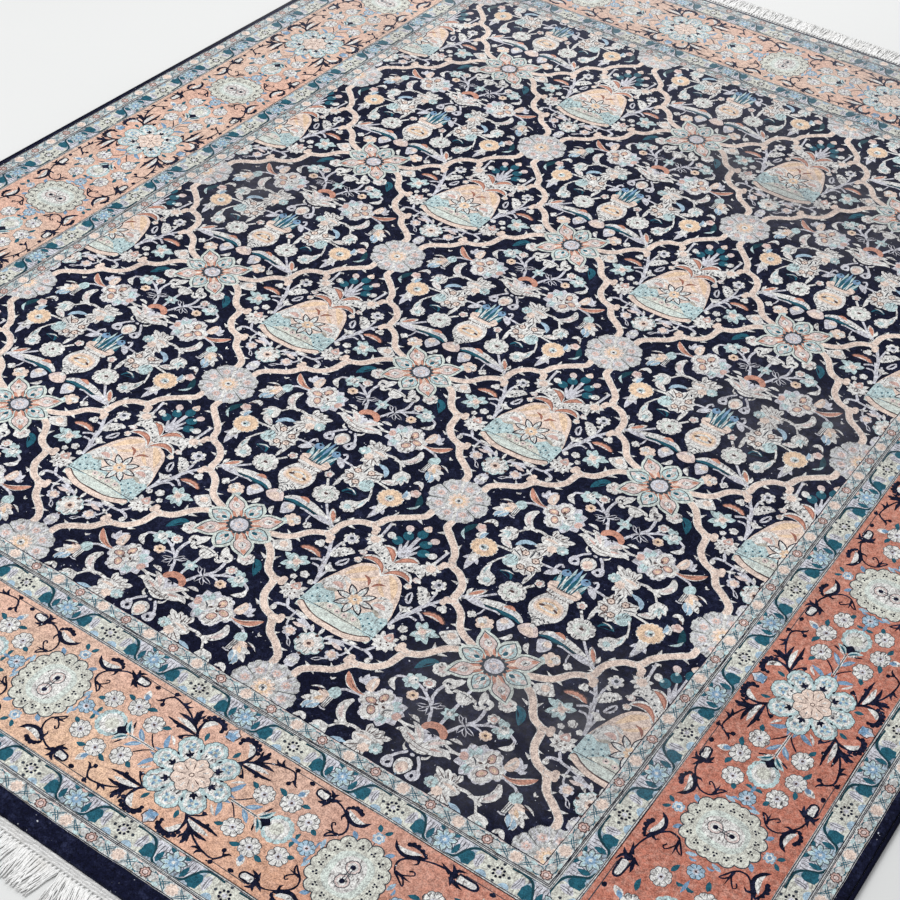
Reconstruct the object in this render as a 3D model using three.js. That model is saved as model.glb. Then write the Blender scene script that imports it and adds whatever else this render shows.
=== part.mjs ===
// A hand-knotted oriental rug lying flat: knotted pile, overcast side cords, cotton end webs, warp fringes.
// Millimetres, +Z up. The origin is the middle of the rug's whole outline, on the floor; +Y runs
// along the warps to the far end, +X to the right side.
import * as THREE from 'three';

// The design that the weaver follows sets the size: a field of whole repeats inside five borders.
const repeat = { width: 549, length: 576 };
const field = { across: 3, along: 4 };
const border = { innerGuards: 76, main: 224.5, outerGuards: 74.5 };
const outerBand = { right: 25, left: 19.5, near: 40, far: 12.5 };

const pile = { height: 10, roundedEdge: 2.5, roundingSteps: 3 };
const sideCord = { width: 8, height: 9, sides: 16 };
const endWeb = { width: 13, height: 4 };
const fringe = { height: 5, reach: 65, knotRow: 7, locks: 152, longestShort: 12, rootFill: 0.86, tipFill: 0.5 };
const seam = 0.3;
const endWander = 1.6;
const endSteps = 36;

const bordersWidth = border.innerGuards + border.main + border.outerGuards;
const wholeWidth = repeat.width * field.across + 2 * bordersWidth + outerBand.right + outerBand.left;
const pileLength = repeat.length * field.along + 2 * bordersWidth + outerBand.near + outerBand.far;
const halfWidth = wholeWidth / 2;
const halfPile = pileLength / 2;
const webOuter = halfPile + endWeb.width;
const fringeTip = webOuter + fringe.reach;

const navyWool = new THREE.MeshStandardMaterial({ color: 0x1a2040, roughness: 0.9, metalness: 0 });
const cordWool = new THREE.MeshStandardMaterial({ color: 0x141a33, roughness: 0.92, metalness: 0 });
const cotton = new THREE.MeshStandardMaterial({ color: 0xe6e2d8, roughness: 0.95, metalness: 0 });

const rug = new THREE.Group();

function addPiece(name, geometry, material) {
  const mesh = new THREE.Mesh(geometry, material);
  mesh.name = name;
  rug.add(mesh);
  return mesh;
}

// How far the far end of the pile wanders from a straight line. The near end is the same, turned round.
function endLine(x) {
  const along = x / halfWidth;
  return endWander * (0.6 * Math.sin(5.1 * along + 0.7) + 0.4 * Math.sin(13.3 * along)) - endWander;
}

function endLinePoints(from, to, steps, y) {
  return Array.from({ length: steps + 1 }, (_, i) => {
    const x = from + (to - from) * i / steps;
    return new THREE.Vector2(x, y(x));
  });
}

function slab(points, height) {
  return new THREE.ExtrudeGeometry(new THREE.Shape(points), { depth: height, bevelEnabled: false });
}

// Knotted pile: a flat body whose edges are rounded where the knots lean outwards.
function buildPile() {
  const side = halfWidth - sideCord.width - seam;
  const outline = [
    ...endLinePoints(-side, side, endSteps, (x) => -(halfPile + endLine(-x))),
    ...endLinePoints(side, -side, endSteps, (x) => halfPile + endLine(x)),
  ];
  const rounded = pile.roundedEdge;
  const geometry = new THREE.ExtrudeGeometry(new THREE.Shape(outline), {
    depth: pile.height - 2 * rounded,
    bevelThickness: rounded,
    bevelSize: rounded,
    bevelOffset: -rounded,
    bevelSegments: pile.roundingSteps,
  });
  geometry.translate(0, 0, rounded);
  addPiece('pile_carpet', geometry, navyWool);
}

// Side cord: a flattened round cord along the pile's whole length, with a narrow flat underneath.
function buildSideCord(name, sign) {
  const outline = Array.from({ length: sideCord.sides }, (_, i) => {
    const angle = (i + 0.5) * 2 * Math.PI / sideCord.sides;
    const flatten = Math.cos(Math.PI / sideCord.sides);
    return new THREE.Vector2(
      Math.cos(angle) / flatten * sideCord.width / 2,
      Math.sin(angle) / flatten * sideCord.height / 2,
    );
  });
  const length = pileLength - 2 * (endWander + seam);
  const geometry = new THREE.ExtrudeGeometry(new THREE.Shape(outline), { depth: length, bevelEnabled: false });
  geometry.translate(0, 0, -length / 2);
  geometry.rotateX(Math.PI / 2);
  const mesh = addPiece(name, geometry, cordWool);
  mesh.position.set(sign * (halfWidth - sideCord.width / 2), 0, sideCord.height / 2);
}

// End web: flat-woven cotton whose inner edge follows the pile's end.
function buildEndWeb(name, sign) {
  const outline = [
    ...endLinePoints(-halfWidth, halfWidth, endSteps, (x) => halfPile + endLine(x) + seam),
    new THREE.Vector2(halfWidth, webOuter),
    new THREE.Vector2(-halfWidth, webOuter),
  ];
  const mesh = addPiece(name, slab(outline, endWeb.height), cotton);
  if (sign < 0) mesh.rotation.z = Math.PI;
}

// Warp fringe: a row of knots from which tapered locks of warp ends lie outwards, of uneven length.
function buildFringe(name, sign) {
  const root = webOuter + seam;
  const lockRoot = root + fringe.knotRow;
  const pitch = wholeWidth / fringe.locks;
  const outline = [new THREE.Vector2(-halfWidth, root), new THREE.Vector2(halfWidth, root)];
  for (let i = fringe.locks - 1; i >= 0; i -= 1) {
    const middle = -halfWidth + (i + 0.5) * pitch;
    const turn = i + (sign > 0 ? 0 : 3.7);
    const lean = pitch * 0.2 * Math.sin(turn * 0.9) * Math.sin(turn * 0.23 + 1);
    const tip = fringeTip - fringe.longestShort * Math.abs(Math.sin(turn * 2.4) * Math.cos(turn * 0.31));
    const rootHalf = pitch * fringe.rootFill / 2;
    const tipHalf = pitch * fringe.tipFill / 2;
    outline.push(new THREE.Vector2(middle + rootHalf, lockRoot));
    outline.push(new THREE.Vector2(middle + lean + tipHalf, tip));
    outline.push(new THREE.Vector2(middle + lean - tipHalf, tip - pitch * 0.15));
    outline.push(new THREE.Vector2(middle - rootHalf, lockRoot));
  }
  const mesh = addPiece(name, slab(outline, fringe.height), cotton);
  if (sign < 0) mesh.rotation.z = Math.PI;
}

buildPile();
buildSideCord('side_cord_right', 1);
buildSideCord('side_cord_left', -1);
buildEndWeb('end_web_near', -1);
buildEndWeb('end_web_far', 1);
buildFringe('fringe_near', -1);
buildFringe('fringe_far', 1);

export default rug;
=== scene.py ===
import math
import random

import bpy
import numpy as np
from mathutils import Matrix, Vector, noise
from mathutils.geometry import delaunay_2d_cdt


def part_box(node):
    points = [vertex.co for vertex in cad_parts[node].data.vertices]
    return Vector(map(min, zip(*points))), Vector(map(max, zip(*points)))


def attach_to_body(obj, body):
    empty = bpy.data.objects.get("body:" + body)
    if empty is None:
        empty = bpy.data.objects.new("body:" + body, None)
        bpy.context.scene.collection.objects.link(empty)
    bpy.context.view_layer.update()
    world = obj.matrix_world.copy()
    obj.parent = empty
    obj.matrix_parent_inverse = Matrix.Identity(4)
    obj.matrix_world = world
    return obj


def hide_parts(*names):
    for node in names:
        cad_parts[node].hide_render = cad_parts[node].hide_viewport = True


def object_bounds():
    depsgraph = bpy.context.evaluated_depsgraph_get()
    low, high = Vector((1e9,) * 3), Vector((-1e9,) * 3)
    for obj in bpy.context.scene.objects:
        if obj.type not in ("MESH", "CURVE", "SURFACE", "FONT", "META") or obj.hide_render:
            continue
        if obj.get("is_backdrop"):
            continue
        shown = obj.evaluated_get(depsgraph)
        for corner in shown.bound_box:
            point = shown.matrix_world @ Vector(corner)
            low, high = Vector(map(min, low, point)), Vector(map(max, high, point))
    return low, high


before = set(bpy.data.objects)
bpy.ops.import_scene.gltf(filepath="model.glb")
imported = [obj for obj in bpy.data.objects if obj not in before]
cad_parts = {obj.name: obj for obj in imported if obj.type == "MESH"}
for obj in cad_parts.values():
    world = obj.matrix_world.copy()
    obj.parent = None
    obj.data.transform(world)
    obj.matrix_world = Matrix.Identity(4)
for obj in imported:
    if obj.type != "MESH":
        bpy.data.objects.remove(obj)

CAD_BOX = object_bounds()

bl_info = {
    "name": "Hand-knotted rug",
    "version": (1, 0, 0),
    "blender": (4, 5, 0),
    "location": "View3D > Sidebar > Rug",
    "description": "Knots the pile, borders, side cords and fringes of a vase and trellis rug",
    "category": "Add Mesh",
}

MM = 0.001

# A corner of a cut outline that lies this near the line past it is left out, in millimetres,
# and how often the outlines are gone over for such corners.
SLACK = 0.4
SWEEPS = 3

# The laid field, in millimetres. A chart repeat is cut as a half and mirrored.
REPEAT_WIDE = 549.0
REPEAT_LONG = 576.0
ACROSS = 3
ALONG = 4
FIELD_MIDDLE = (-2.75, 13.75)

# The field chart counts 100 units across a repeat and 97.1 along it, which start at 2.4.
CHART_ACROSS = 100
CHART_ALONG = 97.1
CHART_START = 2.4

HALF_WIDE = REPEAT_WIDE * ACROSS / 2
HALF_LONG = REPEAT_LONG * ALONG / 2

# How far past the field's edge each stripe of the border starts, in millimetres, and how far
# the outer narrow guard reaches back under the medium one.
NARROW_IN = 0.0
MEDIUM_IN = 26.7
MAIN = 76.0
MEDIUM_OUT = 300.5
NARROW_OUT = 351.0
NARROW_BACK = 1.5

# Where the weaver's rows of repeats start and end, in repeats from the field's near edge.
LAID_ROWS = (-0.945, 0.022, 0.99, 1.97, 2.99, 4.0)

# The seed of the weaver's wandering hand, set so that every run moves the knots alike.
HAND = 5

PILE_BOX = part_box("pile_carpet")
PILE_TOP = PILE_BOX[1][2]
GROUND_TOP = PILE_TOP - 0.0003
PATTERN_TOP = PILE_TOP - 0.00015


def smooth(points, closed=False, step=4.0):
    """A smooth line through the points, with a corner every step or so."""
    count = len(points)
    spans = count if closed else count - 1
    line = []
    for span in range(spans):
        if closed:
            before, start, end, after = (points[(span + k - 1) % count] for k in range(4))
        else:
            before, start, end, after = (
                points[min(max(span + k - 1, 0), count - 1)] for k in range(4))
        pieces = max(2, min(8, round(math.dist(start, end) / step)))
        for piece in range(pieces):
            t = piece / pieces
            line.append(tuple(
                0.5 * (2 * b + (c - a) * t + (2 * a - 5 * b + 4 * c - d) * t * t
                       + (3 * b - a - 3 * c + d) * t ** 3)
                for a, b, c, d in zip(before, start, end, after)))
    if not closed:
        line.append(points[-1])
    return line


def ribbon(line, half_width):
    """The outline of a ribbon along a line, its half width a function from 0 to 1 along it."""
    runs = [0.0]
    for here, there in zip(line, line[1:]):
        runs.append(runs[-1] + math.dist(here, there))
    left = []
    right = []
    for number, (x, y) in enumerate(line):
        x0, y0 = line[max(number - 1, 0)]
        x1, y1 = line[min(number + 1, len(line) - 1)]
        length = math.hypot(x1 - x0, y1 - y0) or 1.0
        half = half_width(runs[number] / (runs[-1] or 1.0))
        across = ((y0 - y1) / length * half, (x1 - x0) / length * half)
        left.append((x + across[0], y + across[1]))
        right.append((x - across[0], y - across[1]))
    return left + right[::-1]


def mirrored(points, axis=0.0):
    """The points of one side of a shape, followed by their mirror images."""
    return points + [(2 * axis - x, y) for x, y in reversed(points)]


def whole(side, axis=0.0):
    """A closed outline from one side of it, whose two end places lie on the axis."""
    return side + [(2 * axis - x, y) for x, y in reversed(side[1:-1])]


def halfway(start, end):
    """The place halfway between two others."""
    return (start[0] + end[0]) / 2, (start[1] + end[1]) / 2


def inside(outline, places):
    """Which of the places lie inside a closed outline, by the times it winds round them."""
    start = np.array(outline)[:, None, :]
    end = np.roll(start, -1, axis=0)
    x, y = places[:, 0], places[:, 1]
    side = (end[..., 0] - start[..., 0]) * (y - start[..., 1])
    side = side - (x - start[..., 0]) * (end[..., 1] - start[..., 1])
    up = (start[..., 1] <= y) & (end[..., 1] > y) & (side > 0)
    down = (start[..., 1] > y) & (end[..., 1] <= y) & (side < 0)
    return (up.sum(axis=0) - down.sum(axis=0)) != 0


class Chart:
    """Shapes laid over one another on one repeat of a pattern, the last one uppermost.

    Places are given in the chart's own units, and widths and radii in millimetres.
    """

    def __init__(self, wide, tall, ground, units=(1.0, 1.0), start=0.0, wraps=False, longer=None):
        self.wide = wide
        self.longer = longer or wide
        self.tall = tall
        self.units = units
        self.start = start
        self.wraps = wraps
        self.fold = None
        end = self.longer
        self.shapes = [(ground, [(0, 0), (end, 0), (end, tall), (0, tall)])]

    def sides(self, axis):
        """Run a loop twice: its shapes are laid as they are, then mirrored about an upright axis.

        The loop gets 1 on the first side and -1 on the mirrored one.
        """
        yield 1
        self.fold = axis
        yield -1
        self.fold = None

    def place(self, point):
        """A place of the chart in millimetres, in a repeat that may be laid longer."""
        x, y = point
        if self.fold is not None:
            x = 2 * self.fold - x
        x, y = x * self.units[0], (y - self.start) * self.units[1]
        return (x if self.longer == self.wide else float(stretched(x, self.wide, self.longer))), y

    def around(self, at, turn, reach):
        """The place at a reach in millimetres from another, at a turn in degrees."""
        angle = math.radians(turn)
        return (at[0] + reach * math.cos(angle) / self.units[0],
                at[1] + reach * math.sin(angle) / self.units[1])

    def lay(self, yarn, outline):
        """Lay a closed outline in millimetres, and its copy where the repeat wraps."""
        self.shapes.append((yarn, outline))
        if not self.wraps:
            return
        heights = [y for x, y in outline]
        if min(heights) < 0:
            self.shapes.append((yarn, [(x, y + self.tall) for x, y in outline]))
        if max(heights) > self.tall:
            self.shapes.append((yarn, [(x, y - self.tall) for x, y in outline]))

    def line(self, points):
        """A smooth line through places of the chart."""
        return smooth([self.place(point) for point in points])

    def patch(self, yarn, *points):
        """A shape with straight sides."""
        self.lay(yarn, [self.place(point) for point in points])

    def strip(self, yarn, height, half):
        """A straight line along the whole repeat."""
        self.patch(yarn, (0, height - half), (self.wide, height - half),
                   (self.wide, height + half), (0, height + half))

    def blob(self, yarn, *points):
        """A shape with a rounded outline."""
        self.lay(yarn, smooth([self.place(point) for point in points], closed=True))

    def band(self, yarn, width, *points):
        """A stem of even width with rounded ends."""
        half = width / 2
        self.lay(yarn, ribbon(self.line(points), lambda t: half))
        if width > 6:
            self.disc(yarn, half, points[0])
            self.disc(yarn, half, points[-1])

    def leaf(self, yarn, width, *points, belly=0.5):
        """A leaf with two pointed ends, widest at its belly."""
        power = math.log(0.5) / math.log(belly)
        self.lay(yarn, ribbon(
            self.line(points), lambda t: width / 2 * math.sin(math.pi * t ** power) ** 0.8))

    def ray(self, yarn, width, start, tip, belly=0.5, bow=0.0):
        """A leaf from a start to a tip, its middle bowed to one side."""
        x, y = halfway(start, tip)
        self.leaf(yarn, width, start, (x + bow, y), tip, belly=belly)

    def rays(self, yarn, width, start, tips, belly=0.5, bow=0.0):
        """Leaves from one start to several tips."""
        for tip in tips:
            self.ray(yarn, width, start, tip, belly, bow)

    def horn(self, yarn, width, *points):
        """A stem that thins to a point from a full start."""
        self.lay(yarn, ribbon(self.line(points), lambda t: width / 2 * (1 - t) ** 0.7))

    def fern(self, yarn, width, *points, teeth=6):
        """A leaf with a toothed outline."""
        line = smooth([self.place(point) for point in points], step=2.0)

        def half(t):
            tooth = 0.72 + 0.28 * abs(math.sin(math.pi * teeth * t))
            return width / 2 * math.sin(math.pi * min(1, t + 0.04)) ** 0.6 * tooth

        self.lay(yarn, ribbon(line, half))

    def disc(self, yarn, radius, at, stretch=1.0, turn=0.0):
        """A round or oval spot; stretch lengthens it along its turn, in degrees."""
        x, y = self.place(at)
        sides = max(7, min(28, round(6 + radius)))
        c, s = math.cos(math.radians(turn)), math.sin(math.radians(turn))
        outline = []
        for side in range(sides):
            angle = math.tau * side / sides
            a, b = radius * stretch * math.cos(angle), radius * math.sin(angle)
            outline.append((x + a * c - b * s, y + a * s + b * c))
        self.lay(yarn, outline)

    def bloom(self, yarn, radius, lobes, at, depth=0.22, turn=0.0):
        """A flower head with rounded lobes."""
        x, y = self.place(at)
        outline = []
        sides = lobes * (6 if radius > 20 else 4)
        for side in range(sides):
            angle = math.tau * side / sides
            reach = radius * (1 - depth * (1 - abs(math.cos(lobes * angle / 2))) ** 1.6)
            angle += math.radians(turn)
            outline.append((x + reach * math.cos(angle), y + reach * math.sin(angle)))
        self.lay(yarn, outline)

    def petal(self, yarn, at, turn, inner, outer, width, belly=0.5, blunt=0.8):
        """One petal that points away from a place at a turn in degrees."""
        x, y = self.place(at)
        c, s = math.cos(math.radians(turn)), math.sin(math.radians(turn))
        line = [(x + c * reach, y + s * reach)
                for reach in np.linspace(inner, outer, 9 if outer - inner > 15 else 6)]
        power = math.log(0.5) / math.log(belly)
        self.lay(yarn, ribbon(
            line, lambda t: width / 2 * max(0, math.sin(math.pi * t ** power)) ** blunt))

    def petals(self, yarn, at, count, inner, outer, width, turn=0.0, belly=0.5, blunt=0.8):
        """A ring of petals."""
        for number in range(count):
            self.petal(yarn, at, turn + 360 * number / count, inner, outer, width, belly, blunt)

    def dots(self, yarn, radius, at, count, ring, turn=0.0):
        """A ring of spots."""
        for number in range(count):
            self.disc(yarn, radius, self.around(at, turn + 360 * number / count, ring))

    def showing(self, places):
        """The number of the shape that shows at each place."""
        seen = np.zeros(len(places), dtype=int)
        for number, (yarn, outline) in enumerate(self.shapes):
            low, high = np.min(outline, axis=0), np.max(outline, axis=0)
            near = np.flatnonzero(((places >= low) & (places <= high)).all(axis=1))
            if near.size:
                seen[near[inside(outline, places[near])]] = number
        return seen

    def cut(self):
        """Cut the chart into triangles that each show one yarn: yarn, three places."""
        frame_line = self.shapes[0][1]
        lines = [outline for yarn, outline in self.shapes]
        corners = [corner for outline in lines for corner in outline]
        edges = []
        first = 0
        for outline in lines:
            count = len(outline)
            edges += [(first + k, first + (k + 1) % count) for k in range(count)]
            first += count
        for plain in (False, True):
            corners, faces = triangles(corners, edges)
            middles = corners[faces].mean(axis=1)
            kept = inside(frame_line, middles)
            faces, middles = faces[kept], middles[kept]
            yarns = [self.shapes[number][0] for number in self.showing(middles)]
            if plain:
                return [(yarn, corners[face]) for yarn, face in zip(yarns, faces)]
            corners, edges = only_used(corners, outlines_between(corners, faces, yarns))


def triangles(corners, edges):
    """Triangles between the corners that keep every edge."""
    cut = delaunay_2d_cdt([Vector(corner) for corner in corners], edges, [], 0, 0.02)
    return np.array([tuple(corner) for corner in cut[0]]), np.array(cut[2])


def only_used(corners, edges):
    """The corners that the edges use, and the edges counted anew."""
    used = sorted({end for edge in edges for end in edge})
    place = {corner: number for number, corner in enumerate(used)}
    return corners[used], [(place[a], place[b]) for a, b in edges]


def off_line(point, start, end):
    """How far a point lies from the line between two others."""
    along = end - start
    return abs(along[0] * (point[1] - start[1]) - along[1] * (point[0] - start[0])) / (
        math.hypot(*along) or 1.0)


def outlines_between(corners, faces, yarns):
    """The edges where one yarn meets another and those round the whole, without idle corners."""
    sides = {}
    for face, yarn in zip(faces, yarns):
        for a, b in zip(face, np.roll(face, -1)):
            sides.setdefault((min(a, b), max(a, b)), []).append(yarn)
    ends = {}
    for (a, b), met in sides.items():
        if len(met) == 1 or met[0] != met[1]:
            ends.setdefault(int(a), set()).add(int(b))
            ends.setdefault(int(b), set()).add(int(a))
    for sweep in range(SWEEPS):
        resting = set()
        for corner in sorted(ends):
            if corner in resting or len(ends[corner]) != 2:
                continue
            a, b = ends[corner]
            if b in ends[a] or off_line(corners[corner], corners[a], corners[b]) > SLACK:
                continue
            for here, there in ((a, b), (b, a)):
                ends[here].discard(corner)
                ends[here].add(there)
                resting.add(here)
            del ends[corner]
    return [(a, b) for a in ends for b in ends[a] if a < b]


def chart_trellis(c):
    """The peach trellis: two climbing bands of a half repeat with their knobs and thorns."""
    rising = [(3.9, 9), (3.9, 11.3), (4.3, 14), (6, 15.9), (8.9, 17.9), (12, 19.7), (13.6, 21.6),
              (14.8, 23.8), (16.4, 25.2), (18.5, 25.8), (20.6, 26.9), (22.6, 28.8), (24, 31),
              (24.6, 33.7), (25, 36.2), (26.4, 37.7), (28.9, 38.8), (31, 40.9), (32.6, 43.6),
              (34.6, 46), (37, 47.6), (39.4, 48.4)]
    falling = [(3.4, 94), (3.9, 90.5), (4.2, 87.4), (6.5, 85.2), (9.5, 82.9), (12, 80.6),
               (13.7, 78.3), (14.4, 75.8), (16.2, 74.1), (18.9, 73.3), (21, 71.8), (22.9, 69.5),
               (23.8, 66.7), (23.9, 64), (25.4, 62.2), (27.8, 61.1), (30, 59.2), (31.5, 56.7),
               (33.2, 54.6), (36, 52.9), (39.5, 51.7)]
    knobs = [
        [(16, 25.4), (14.6, 25.5), (13.3, 25.9)],
        [(25.6, 37.7), (24.2, 37.8), (22.8, 38.2)],
        [(15.4, 74.6), (14, 73.6), (13, 72.6)],
        [(25, 62.4), (23.6, 61.6), (22.4, 61)],
    ]
    thorns = [
        [(31.6, 43.4), (30.2, 45.9)], [(33.6, 42.7), (36.6, 43.5)], [(23.6, 29.9), (20, 30.1)],
        [(22.4, 26.6), (24.9, 27.6)], [(11.6, 20), (9.8, 21.6)], [(5.7, 16.6), (3.3, 17.6)],
        [(6.9, 16.3), (8.6, 15)], [(21.4, 69.3), (18.9, 69.2)], [(22.2, 72.7), (23.8, 71.2)],
        [(5.2, 84.9), (2.9, 83.6)], [(8.4, 84.6), (6.4, 87.1)], [(12.4, 81.4), (12.6, 83.9)],
        [(33.4, 54.9), (36.3, 56.4)], [(31.6, 55.2), (29.4, 54.4)], [(24.3, 65.4), (26.6, 64)],
    ]
    for thorn in thorns:
        c.horn("ivory", 8, *thorn)
    for course in (rising, falling):
        c.band("ivory", 15, *course)
        c.band("peach", 12.4, *course)
    for knob in knobs:
        c.band("ivory", 13, *knob)
        c.band("peach", 10.6, *knob)
        c.disc("peach", 6.6, (knob[-1][0], knob[-1][1] - 0.9))
        c.disc("peach", 6.6, (knob[-1][0] + 0.3, knob[-1][1] + 0.8))


def chart_great_rosette(c, at):
    """The grey-lilac rosette of eight scalloped lobes where four trellis bands meet."""
    for turn in range(0, 360, 45):
        c.bloom("stone", 25, 9, c.around(at, turn, 36), depth=0.13, turn=turn)
    c.disc("stone", 42, at)
    for turn in range(0, 360, 45):
        spot = c.around(at, turn, 38)
        for side in (-15, -8, 8, 15):
            c.petal("lilac", at, turn + side, 26, 60, 3, blunt=0.4)
        if turn % 180 in (45, 90):
            c.petal("ivory", at, turn + 22.5, 16, 60, 8, belly=0.3)
        else:
            c.petal("slate", at, turn + 22.5, 22, 59, 1.7, blunt=0.2)
        c.bloom("blush", 9, 6, spot, depth=0.3, turn=turn)
        c.bloom("rose", 5.4, 5, spot, depth=0.3, turn=turn)
        c.disc("stone", 2.2, spot)
    c.bloom("peach", 21, 12, at, depth=0.3)
    c.bloom("apricot", 14, 8, at, depth=0.3, turn=22.5)
    c.disc("ivory", 7.6, at)
    c.disc("slate", 3, at)


def chart_great_star(c, at):
    """The star between two trellis bands: four long coral petals, four short pale ones."""
    c.disc("sage", 52, at)
    for turn in range(0, 360, 90):
        c.petal("sage", at, turn, 14, 72, 40, belly=0.6, blunt=0.8)
        c.petal("sage", at, turn + 45, 14, 88, 42, belly=0.52, blunt=1.05)
    for turn in range(0, 360, 90):
        c.petal("slate", at, turn, 21, 66.4, 33.4, belly=0.44)
        c.petal("slate", at, turn + 45, 30, 82, 33.4, belly=0.42, blunt=1.15)
        c.petal("slate", at, turn + 45, 12, 66, 22.4, blunt=0.5)
    for turn in range(0, 360, 90):
        c.petal("coral", at, turn, 16, 40, 24, belly=0.6)
        c.petal("aqua", at, turn, 24, 64, 30, belly=0.42)
        c.petal("blush", at, turn, 50, 63, 10)
        c.petal("ivory", at, turn, 27, 54, 15, belly=0.42)
        c.petal("teal", at, turn, 29, 42, 8)
        for side in (-10, 10):
            c.petal("rose", at, turn + side, 34, 50, 3.4)
    for turn in range(45, 405, 90):
        c.petal("coral", at, turn, 12, 64, 19.4, blunt=0.5)
        c.petal("blush", at, turn, 32, 79, 30, belly=0.42, blunt=1.15)
        c.petal("coral", at, turn, 60, 77, 9, blunt=1.0)
        c.petal("peach", at, turn, 20, 52, 9, blunt=0.6)
        c.petal("rose", at, turn, 42, 66, 19, belly=0.45)
        c.petal("ivory", at, turn, 44, 64, 15, belly=0.45)
        c.petal("slate", at, turn, 50, 57, 3)
    c.disc("slate", 21.4, at)
    c.dots("slate", 3.6, at, 14, 21.6)
    c.disc("lilac", 17.4, at)
    c.bloom("blush", 9, 6, at, depth=0.4)
    c.disc("lilac", 4.4, at)


def chart_vase(c):
    """The tall vase on the repeat's axis, with its star, its leaves and its spray."""
    side = [(13.9, 33.9), (14.1, 36.5), (14.1, 40), (13.9, 43.6), (13.2, 46.6), (12.2, 49.4),
            (10.9, 53), (9.6, 56), (8, 58.4), (5.8, 59.9), (3.2, 60.6)]
    c.patch("peach", *mirrored([(0, 33.2), (8, 33.4)] + side + [(0, 61)]))
    c.patch("aqua",
            *mirrored([(0, 33.2)] + side[:4] + [(12.6, 45), (10.6, 43.4), (7.6, 44.6), (4.6, 41.6),
                       (0, 41.2)]))
    for way in c.sides(0):
        c.leaf("apricot", 15, (2, 59.6), (6, 56.8), (9.4, 51.6), belly=0.45)
        c.leaf("apricot", 8, (0.4, 56.6), (3.4, 53), (7, 50.8))
    c.patch("cream",
            *mirrored([(0, 36.2), (5.2, 36.3), (9.6, 36.6), (6.4, 39.4), (3, 40.2), (0, 39.6)]))
    c.patch("sage",
            *mirrored([(0, 36.2), (4, 36.3), (9.6, 36), (13.9, 34.6), (13.6, 33), (0, 33)]))
    c.band("slate", 1.6, (-14, 36.4), (-9, 36.5), (-4, 36.8), (0, 36.6), (4, 36.8), (9, 36.5),
           (14, 36.4))
    for way in c.sides(0):
        c.blob("ivory", (13.2, 45), (10.6, 44), (7, 45), (5, 47), (7.4, 49.6), (10, 50.6),
               (12, 48.6))
        c.leaf("rose", 12, (5.8, 46.6), (8, 47.5), (10.2, 46.8))
        c.leaf("sand", 9, (10.2, 43.2), (8.4, 44.6), (6.2, 45))
        c.leaf("ivory", 8, (9.4, 51), (7, 50.6), (5, 49.4))
        for spot in ((7.8, 41.4), (9.6, 40), (11.6, 38.7), (6.2, 39.8), (12.4, 42.2), (8.6, 38.2)):
            c.disc("teal", 2.2, spot)
        for spot in ((4.5, 38.6), (1.4, 38.3)):
            c.bloom("blush", 6, 5, spot)
            c.disc("slate", 1.8, spot)
        c.leaf("russet", 6, (0.4, 51.8), (1.8, 54.2), (4.4, 55))
    centre = (0, 45.2)
    c.petals("navy", centre, 8, 4, 39, 15)
    c.petals("ivory", centre, 8, 3, 35, 11)
    c.petals("aqua", centre, 8, 12, 27, 2.6)
    c.bloom("apricot", 13, 8, centre, depth=0.3, turn=22.5)
    c.disc("ivory", 4.4, centre)
    c.disc("slate", 2, centre)
    foot = [(12.8, 34.6), (10.4, 33.2), (6.4, 31.9), (2.6, 31.5), (0, 31.5), (-2.6, 31.5),
            (-6.4, 31.9), (-10.4, 33.2), (-12.8, 34.6)]
    c.band("umber", 13.5, *[(x * 0.99, y + 0.2) for x, y in foot])
    c.band("peach", 11, *foot)
    crown = [
        ("ivory", 18, [(0, 57.2), (1.4, 60.2), (4.2, 62.2), (7.4, 62), (10, 60)]),
        ("russet", 11, [(0.2, 58.4), (1.6, 60.4), (4.2, 62), (7, 61.9), (9.2, 60.6)]),
        ("coral", 6.5, [(0.5, 58.9), (1.9, 60.5), (4.2, 61.9), (6.8, 61.8), (8.6, 60.8)]),
        ("ivory", 25, [(0, 61), (2.2, 64.4), (5.4, 66.3), (8.8, 66.2), (11, 63.6)]),
        ("ivory", 15, [(-0.2, 63), (1.8, 66.8), (4, 69), (7.2, 69)]),
        ("russet", 11, [(0.2, 64.4), (2, 67), (4, 68.5), (6.4, 68.8)]),
        ("coral", 6.5, [(0.6, 65.0), (2.1, 67), (4, 68.4), (6, 68.7)]),
    ]
    for way in c.sides(0):
        for yarn, width, points in crown:
            c.leaf(yarn, width, *points, belly=0.55)
        for spot in ((9.2, 65), (7.3, 65.9), (5.3, 65.6), (3.4, 64.3), (1.8, 62.6)):
            c.disc("slate", 2.4, spot)
        c.leaf("ivory", 9, (9.4, 62.6), (11, 62.6), (12.2, 62))
        c.disc("peach", 5, (10, 59.2))
        c.horn("lilac", 9, (0.6, 68), (3, 72), (5.6, 74))
        c.horn("lilac", 9, (0.4, 69), (1.8, 74), (3, 77))
        for cup, bud, yarn in (((4.7, 72.6), (8, 74.4), "ivory"),
                               ((3, 76.2), (4.9, 80.2), "blush")):
            c.disc("teal", 10, (cup[0] + 0.4, cup[1] + 0.6), stretch=1.15, turn=way * 50)
            c.disc(yarn, 7.5, (bud[0], bud[1] - 0.4), stretch=1.2, turn=way * 50)
            c.disc("aqua", 4, halfway(cup, bud))
    c.band("lilac", 8, (0, 68), (0, 73), (0, 78))
    c.disc("teal", 9.5, (0, 80), stretch=1.25, turn=90)
    c.blob("peach", (-1.5, 82.6), (0, 84.6), (1.5, 82.6), (0, 81.6))
    c.disc("ivory", 3.5, (0, 82.4))


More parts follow.
